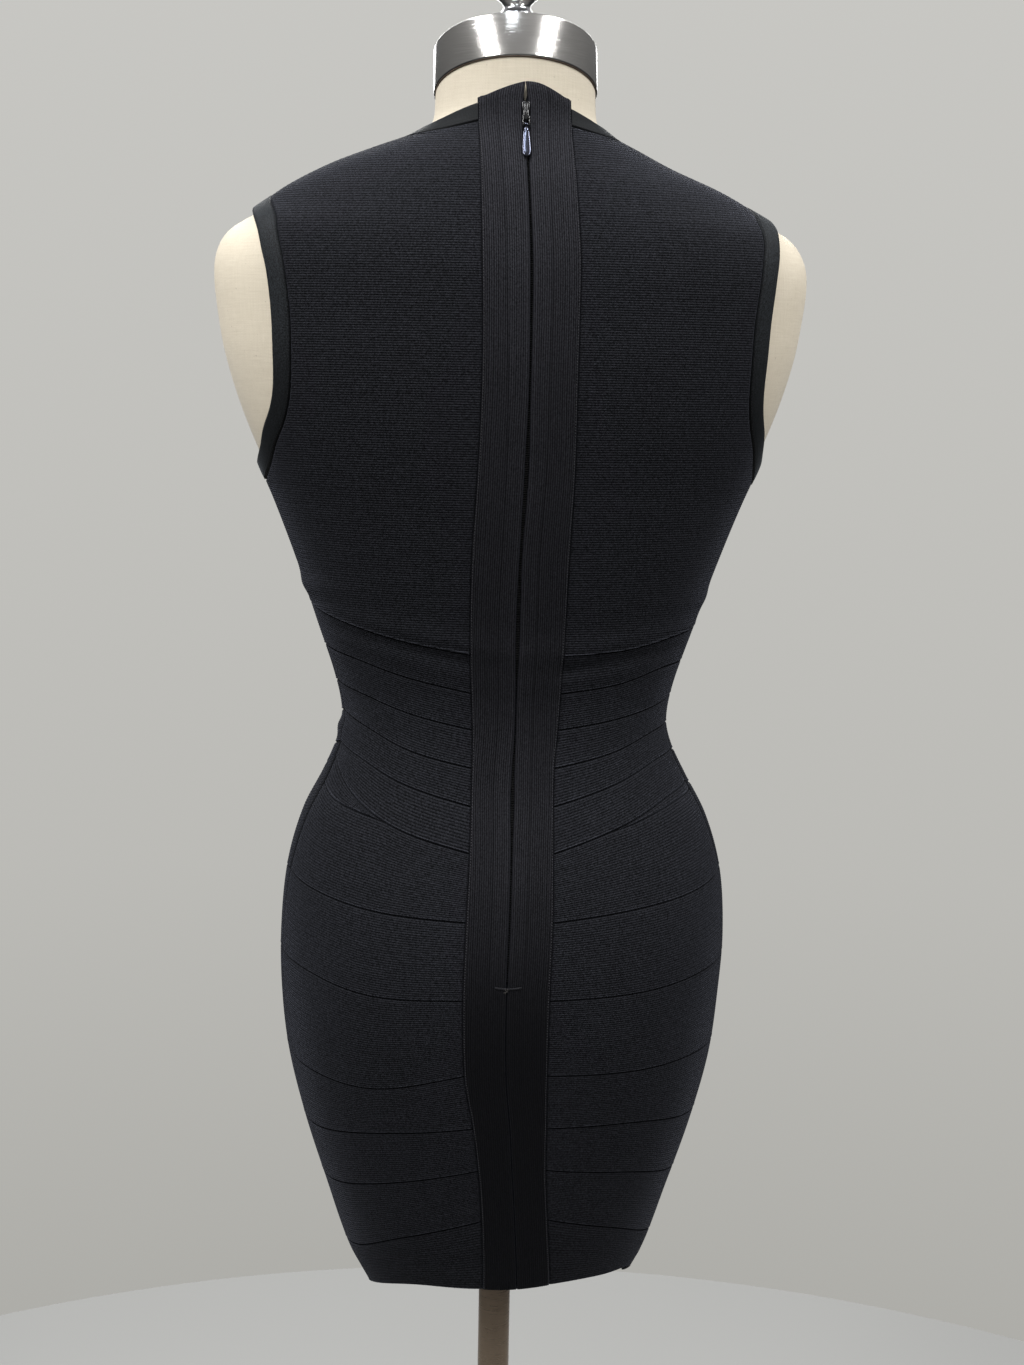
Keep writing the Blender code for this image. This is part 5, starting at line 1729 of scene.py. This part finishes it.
def form_torso(material):
    """The linen torso: the figure's surface drawn in by the cloth's ease."""
    even = np.linspace(0, 2 * math.pi, FORM_SIDES, endpoint=False)
    angle = np.arctan2(ANGLE_CROWDING * np.sin(even), np.cos(even))
    rows = []
    for drop in np.linspace(0, 1, 5)[:-1]:
        inset = FORM_INSET * (1 - math.sin(drop * math.pi / 2))
        height = FORM_BOTTOM + FORM_ROUND * (1 - math.cos(drop * math.pi / 2))
        point = figure_points(angle, height) - figure_normals(angle, height) * (EASE + inset)
        point[:, 2] = height
        rows.append(point)
    heights = np.concatenate((np.arange(0.842, 1.46, 0.008), np.arange(1.46, 1.562, 0.004)))
    for height in heights:
        rows.append(inside(angle, height))
    last = heights[-1]
    end = neck_end(angle)
    for part in np.linspace(0, 1, 9)[1:]:
        rows.append(inside(angle, last + (end - last) * part))
    points = np.stack(rows)
    flat = points.reshape(-1, 3)
    ids = grid_ids(*points.shape[:2])
    ids = np.concatenate((ids, ids[:, :1]), 1)
    faces = quads_of(ids).tolist() + [ids[0, -2::-1].tolist(), ids[-1, :-1].tolist()]
    piece = mesh_object("form_torso_linen", flat, faces, material, sharp=50)
    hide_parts("form_torso")
    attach(piece, "root")


def inside(angle, height):
    return figure_points(angle, height) - figure_normals(angle, height) * EASE


def neck_end(angle):
    """The heights at which the sloping cut of the neck meets the surface."""
    height = NECK_TOP + 0 * angle
    for _ in range(4):
        point = inside(angle, height)
        height = height + NECK_TOP + point[:, 1] * math.tan(NECK_TILT) - SEAM_GAP / 2 - point[:, 2]
    return height


def rounded(corners, radius, steps=6):
    """A profile of (height, radius) corners whose inner corners are rounded."""
    profile = [corners[0]]
    for before, corner, after in zip(corners, corners[1:], corners[2:]):
        way_in = unit(np.subtract(before, corner))
        way_out = unit(np.subtract(after, corner))
        for t in np.linspace(0, 1, steps):
            a = np.array(corner) + way_in * radius * (1 - t) ** 2
            profile.append(tuple(a + way_out * radius * t ** 2))
    profile.append(corners[-1])
    return profile


def neck_cap(material, trim):
    """The brushed steel cap, tilted forward with the neck, and the dark cord under its edge."""
    seat = NECK_TOP + SEAM_GAP / 2 / math.cos(NECK_TILT)
    placing = Matrix.Translation((0, 0, seat)) @ Matrix.Rotation(NECK_TILT, 4, "X")
    bm = bmesh.new()
    corners = [(0.0, 0.0), (0.0, CAP_RADIUS), (CAP_HEIGHT, CAP_RADIUS), (CAP_HEIGHT, 0.0)]
    lathe(bm, rounded(corners, 0.0012), placing, 160)
    metal_piece("neck_cap_steel", bm, material, ["form_neck_cap"], "root")
    bm = bmesh.new()
    cord = [(CORD_RADIUS * math.sin(t) - 0.0003, CORD_RING + CORD_RADIUS * math.cos(t)) for t in
            np.linspace(0, 2 * math.pi, 9)[:-1]]
    lathe(bm, cord, placing, 120, closed=True)
    metal_piece("neck_edge_cord", bm, trim, [], "root", sharp=80)


def finial(material):
    """The chrome knob, cut below to sit on the cap's sloping top."""
    foot, collar, tip = (FINIAL_PROFILE[row][0] for row in (0, 1, -1))
    heights = np.concatenate((np.linspace(foot, collar, 6)[:-1], np.linspace(collar, tip, 90)))
    profile = [(foot, 0.0)] + [(h, float(smooth(FINIAL_PROFILE, 1, h))) for h in heights] + [(tip, 0.0)]
    bm = bmesh.new()
    lathe(bm, profile)
    top = NECK_TOP + (CAP_HEIGHT + SEAM_GAP * 1.5) / math.cos(NECK_TILT)
    normal = Matrix.Rotation(NECK_TILT, 3, "X") @ Vector((0, 0, 1))
    cut = bmesh.ops.bisect_plane(bm, geom=bm.verts[:] + bm.edges[:] + bm.faces[:], dist=1e-6,
                                 plane_co=(0, 0, top), plane_no=normal, clear_inner=True)
    rim = [item for item in cut["geom_cut"] if isinstance(item, bmesh.types.BMEdge)]
    bmesh.ops.holes_fill(bm, edges=rim)
    metal_piece("finial_chrome", bm, material, ["form_finial"], "root")


def stand(pole_metal, iron):
    """The pole, the round base with its hub, and the screw in the hub."""
    bm = bmesh.new()
    foot = BASE_HEIGHT + SEAM_GAP
    head = FORM_BOTTOM - SEAM_GAP
    corners = [(foot, 0.0), (foot, POLE_RADIUS), (head, POLE_RADIUS), (head, 0.0)]
    lathe(bm, rounded(corners, 0.0008), sides=64)
    metal_piece("pole_steel_tube", bm, pole_metal, ["stand_pole"], "root")
    bm = bmesh.new()
    bore = POLE_RADIUS + SEAM_GAP
    hub_top = BASE_HEIGHT + HUB_HEIGHT
    corners = [(0.0, bore), (hub_top, bore), (hub_top, HUB_RADIUS),
               (BASE_HEIGHT + 0.003, HUB_RADIUS + 0.001), (BASE_HEIGHT, HUB_RADIUS + 0.012),
               (BASE_HEIGHT, BASE_RADIUS), (0.0, BASE_RADIUS), (0.0, bore + 0.002)]
    lathe(bm, rounded(corners, BASE_ROUND), sides=160, closed=True)
    metal_piece("base_iron_plate", bm, iron, ["stand_base"], "root")
    bm = bmesh.new()
    screw = Matrix.Translation((0, HUB_RADIUS + 0.004, BASE_HEIGHT + 0.034))
    rod(bm, screw @ Matrix.Rotation(math.pi / 2, 4, "Z"), 0.0045, 0.012, sides=24, edge=0.0008)
    metal_piece("hub_screw", bm, pole_metal, [], "root")


# Camera, floor and light

def camera():
    """The camera behind the dress, turned, tilted and rolled as the photograph's was."""
    turn_out = math.sin(EYE_SWING)
    turn_back = math.cos(EYE_SWING)
    eye = Vector((EYE_DISTANCE * turn_out, EYE_DISTANCE * turn_back, EYE_HEIGHT))
    yaw = math.atan((POLE_PIXEL - IMAGE_WIDTH / 2) / FOCAL_PIXELS)
    back = Vector((-turn_out, -turn_back, 0))
    aside = Vector((-turn_back, turn_out, 0))
    level = back * math.cos(yaw) - aside * math.sin(yaw)
    right = aside * math.cos(yaw) + back * math.sin(yaw)
    up = Vector((0, 0, 1))
    ahead = level * math.cos(PITCH_DOWN) - up * math.sin(PITCH_DOWN)
    above = up * math.cos(PITCH_DOWN) + level * math.sin(PITCH_DOWN)
    right_leaning = right * math.cos(ROLL) + above * math.sin(ROLL)
    up_leaning = above * math.cos(ROLL) - right * math.sin(ROLL)
    data = bpy.data.cameras.new("camera")
    data.sensor_width = SENSOR
    data.lens = FOCAL_PIXELS * SENSOR / IMAGE_HEIGHT
    view = shown("camera", data)
    turn = Matrix((right_leaning, up_leaning, -ahead)).transposed().to_4x4()
    view.matrix_world = Matrix.Translation(eye) @ turn
    bpy.context.scene.camera = view


def area_light(name, place, aim, size, power, colour=(1, 1, 1)):
    data = bpy.data.lights.new(name, "AREA")
    data.shape = "RECTANGLE"
    data.size, data.size_y = size
    data.energy = power
    data.color = colour
    lamp = shown(name, data)
    place = Vector(place)
    lamp.location = place
    lamp.rotation_euler = (Vector(aim) - place).to_track_quat("-Z", "Y").to_euler()
    lamp.visible_camera = False


FLOOR_RADIUS = 1.5


def room_light(tree):
    """A dim room that is lighter overhead, seen by the camera as a pale wall with painted shade darkening it
    towards the floor.
    """
    place = add_node(tree, "ShaderNodeTexCoord", output="Generated")
    height = add_node(tree, "ShaderNodeSeparateXYZ", (0, place), output="Z")
    spread = add_node(tree, "ShaderNodeMapRange", ("Value", height), ("From Min", -1.0))
    tones = []
    for stops in (ROOM_TONES, WALL_TONES):
        ramp = tree.nodes.new("ShaderNodeValToRGB")
        set_stops(ramp.color_ramp, [((level + 1) / 2, colour) for level, colour in stops])
        tree.links.new(spread, ramp.inputs[0])
        tones.append(add_node(tree, "ShaderNodeBackground", ("Color", ramp.outputs[0])))
    seen = add_node(tree, "ShaderNodeLightPath", output="Is Camera Ray")
    mix = add_node(tree, "ShaderNodeMixShader", (0, seen), (1, tones[0]), (2, tones[1]))
    tree.links.new(mix, tree.nodes["World Output"].inputs["Surface"])


# Tones from straight down at -1 to straight up at 1
ROOM_TONES = [(-1.0, (0.02, 0.02, 0.02)), (-0.1, (0.05, 0.05, 0.05)), (0.15, (0.16, 0.16, 0.16)),
              (0.6, (0.34, 0.34, 0.34)), (1.0, (0.60, 0.60, 0.61))]
# The wall the camera sees, with painted shade darkening it towards the floor
WALL_TONES = [(-0.45, (0.42, 0.415, 0.39)), (-0.25, (0.50, 0.495, 0.47)), (0.0, (0.545, 0.54, 0.515)),
              (0.2, (0.58, 0.575, 0.55))]


def studio():
    """A pale round floor, a pale wall tone, three soft ceiling panels and a weak fill in front."""
    bm = bmesh.new()
    bmesh.ops.create_circle(bm, cap_ends=True, segments=160, radius=FLOOR_RADIUS)
    mesh = bpy.data.meshes.new("floor")
    bm.to_mesh(mesh)
    bm.free()
    mesh.materials.append(plain_finish("pale_floor", (0.30, 0.30, 0.29), 0.9))
    shown("floor", mesh)
    world = bpy.data.worlds.new("room")
    world.use_nodes = True
    room_light(world.node_tree)
    bpy.context.scene.world = world
    for side, power in ((1, 102), (-1, 82)):
        area_light(f"ceiling_panel_{side + 2}", (side * 1.33, 0.95, 3.1), (side * 1.33, 0.95, 0.0),
                   (0.30, 2.4), power)
    area_light("small_ceiling_panel", (0.20, 0.80, 3.1), (0.20, 0.80, 0.0), (0.36, 0.50), 7,
               (0.85, 0.92, 1.0))
    area_light("front_fill", (0.0, -2.6, 2.3), (0.0, 0.0, 1.2), (1.6, 1.2), 50)
    bpy.context.scene.view_settings.view_transform = "Standard"


def dress():
    knit = knit_finish("ribbed_knit", (0.0016, 0.0017, 0.0022), (0.0260, 0.0270, 0.0330))
    strip_knit = knit_finish("strip_rib_knit", (0.0012, 0.0012, 0.0016), (0.0260, 0.0260, 0.0310),
                             ribs_up=True, streak=0.45, ribbed=1.30, fuzz=1.7)
    binding = binding_finish()
    for side, name in ((1, "left"), (-1, "right")):
        for band in range(SKIRT_BANDS):
            back_band(f"back_skirt_band_{band + 1}_{name}", SKIRT_BANDS - 1 - band, side, knit)
        for band in range(WAIST_BANDS):
            lower = SKIRT_BANDS + WAIST_BANDS - 1 - band
            back_band(f"back_waist_band_{band + 1}_{name}", lower, side, knit)
        back_bodice(f"back_bodice_{name}", side, knit)
        back_strip(f"back_strip_{name}", side, strip_knit)
        armhole_binding(f"armhole_binding_{name}", side, binding)
    for band in range(SKIRT_BANDS):
        front_band(f"front_skirt_band_{band + 1}", SKIRT_BANDS - 1 - band, knit)
    for band in range(WAIST_BANDS):
        front_band(f"front_waist_band_{band + 1}", SKIRT_BANDS + WAIST_BANDS - 1 - band, knit)
    front_bodice("front_bodice", knit)
    neckband("neckband", binding)
    zip_tapes(strip_knit)


def main():
    camera()
    studio()
    dress()
    tree = path_tree()
    thread = thread_finish("black_thread", (0.007, 0.007, 0.009), (0.024, 0.024, 0.028))
    pale = thread_finish("pale_thread", (0.030, 0.028, 0.026), (0.085, 0.080, 0.075))
    worn = thread_finish("worn_thread", (0.022, 0.022, 0.025), (0.070, 0.070, 0.076))
    stitches(tree, thread, worn)
    bar_tack(tree, thread, pale)
    black_metal = polished_finish("black_zip_metal", (0.075, 0.080, 0.105), 0.10)
    coil = polished_finish("black_coil", (0.004, 0.004, 0.005), 0.45, metallic=0.0)
    zip_teeth(tree, coil)
    placing = slider_placing()
    enamel = polished_finish("black_slider_enamel", (0.006, 0.006, 0.007), 0.12, metallic=0.0, coat=0.6)
    zip_slider(placing, enamel)
    zip_pull_tab(placing, black_metal)
    form_torso(linen_finish())
    steel = brushed_finish("brushed_steel", (0.40, 0.385, 0.365), (0.62, 0.605, 0.58), 0.11,
                           (40.0, 40.0, 3000.0))
    trim = thread_finish("brown_cord", (0.045, 0.030, 0.020), (0.110, 0.075, 0.050))
    neck_cap(steel, trim)
    finial(polished_finish("chrome", (0.86, 0.86, 0.87), 0.035))
    pole = brushed_finish("satin_pole", (0.20, 0.155, 0.115), (0.34, 0.265, 0.20), 0.26,
                          (60.0, 60.0, 1200.0), strength=0.15)
    stand(pole, iron_finish())


main()
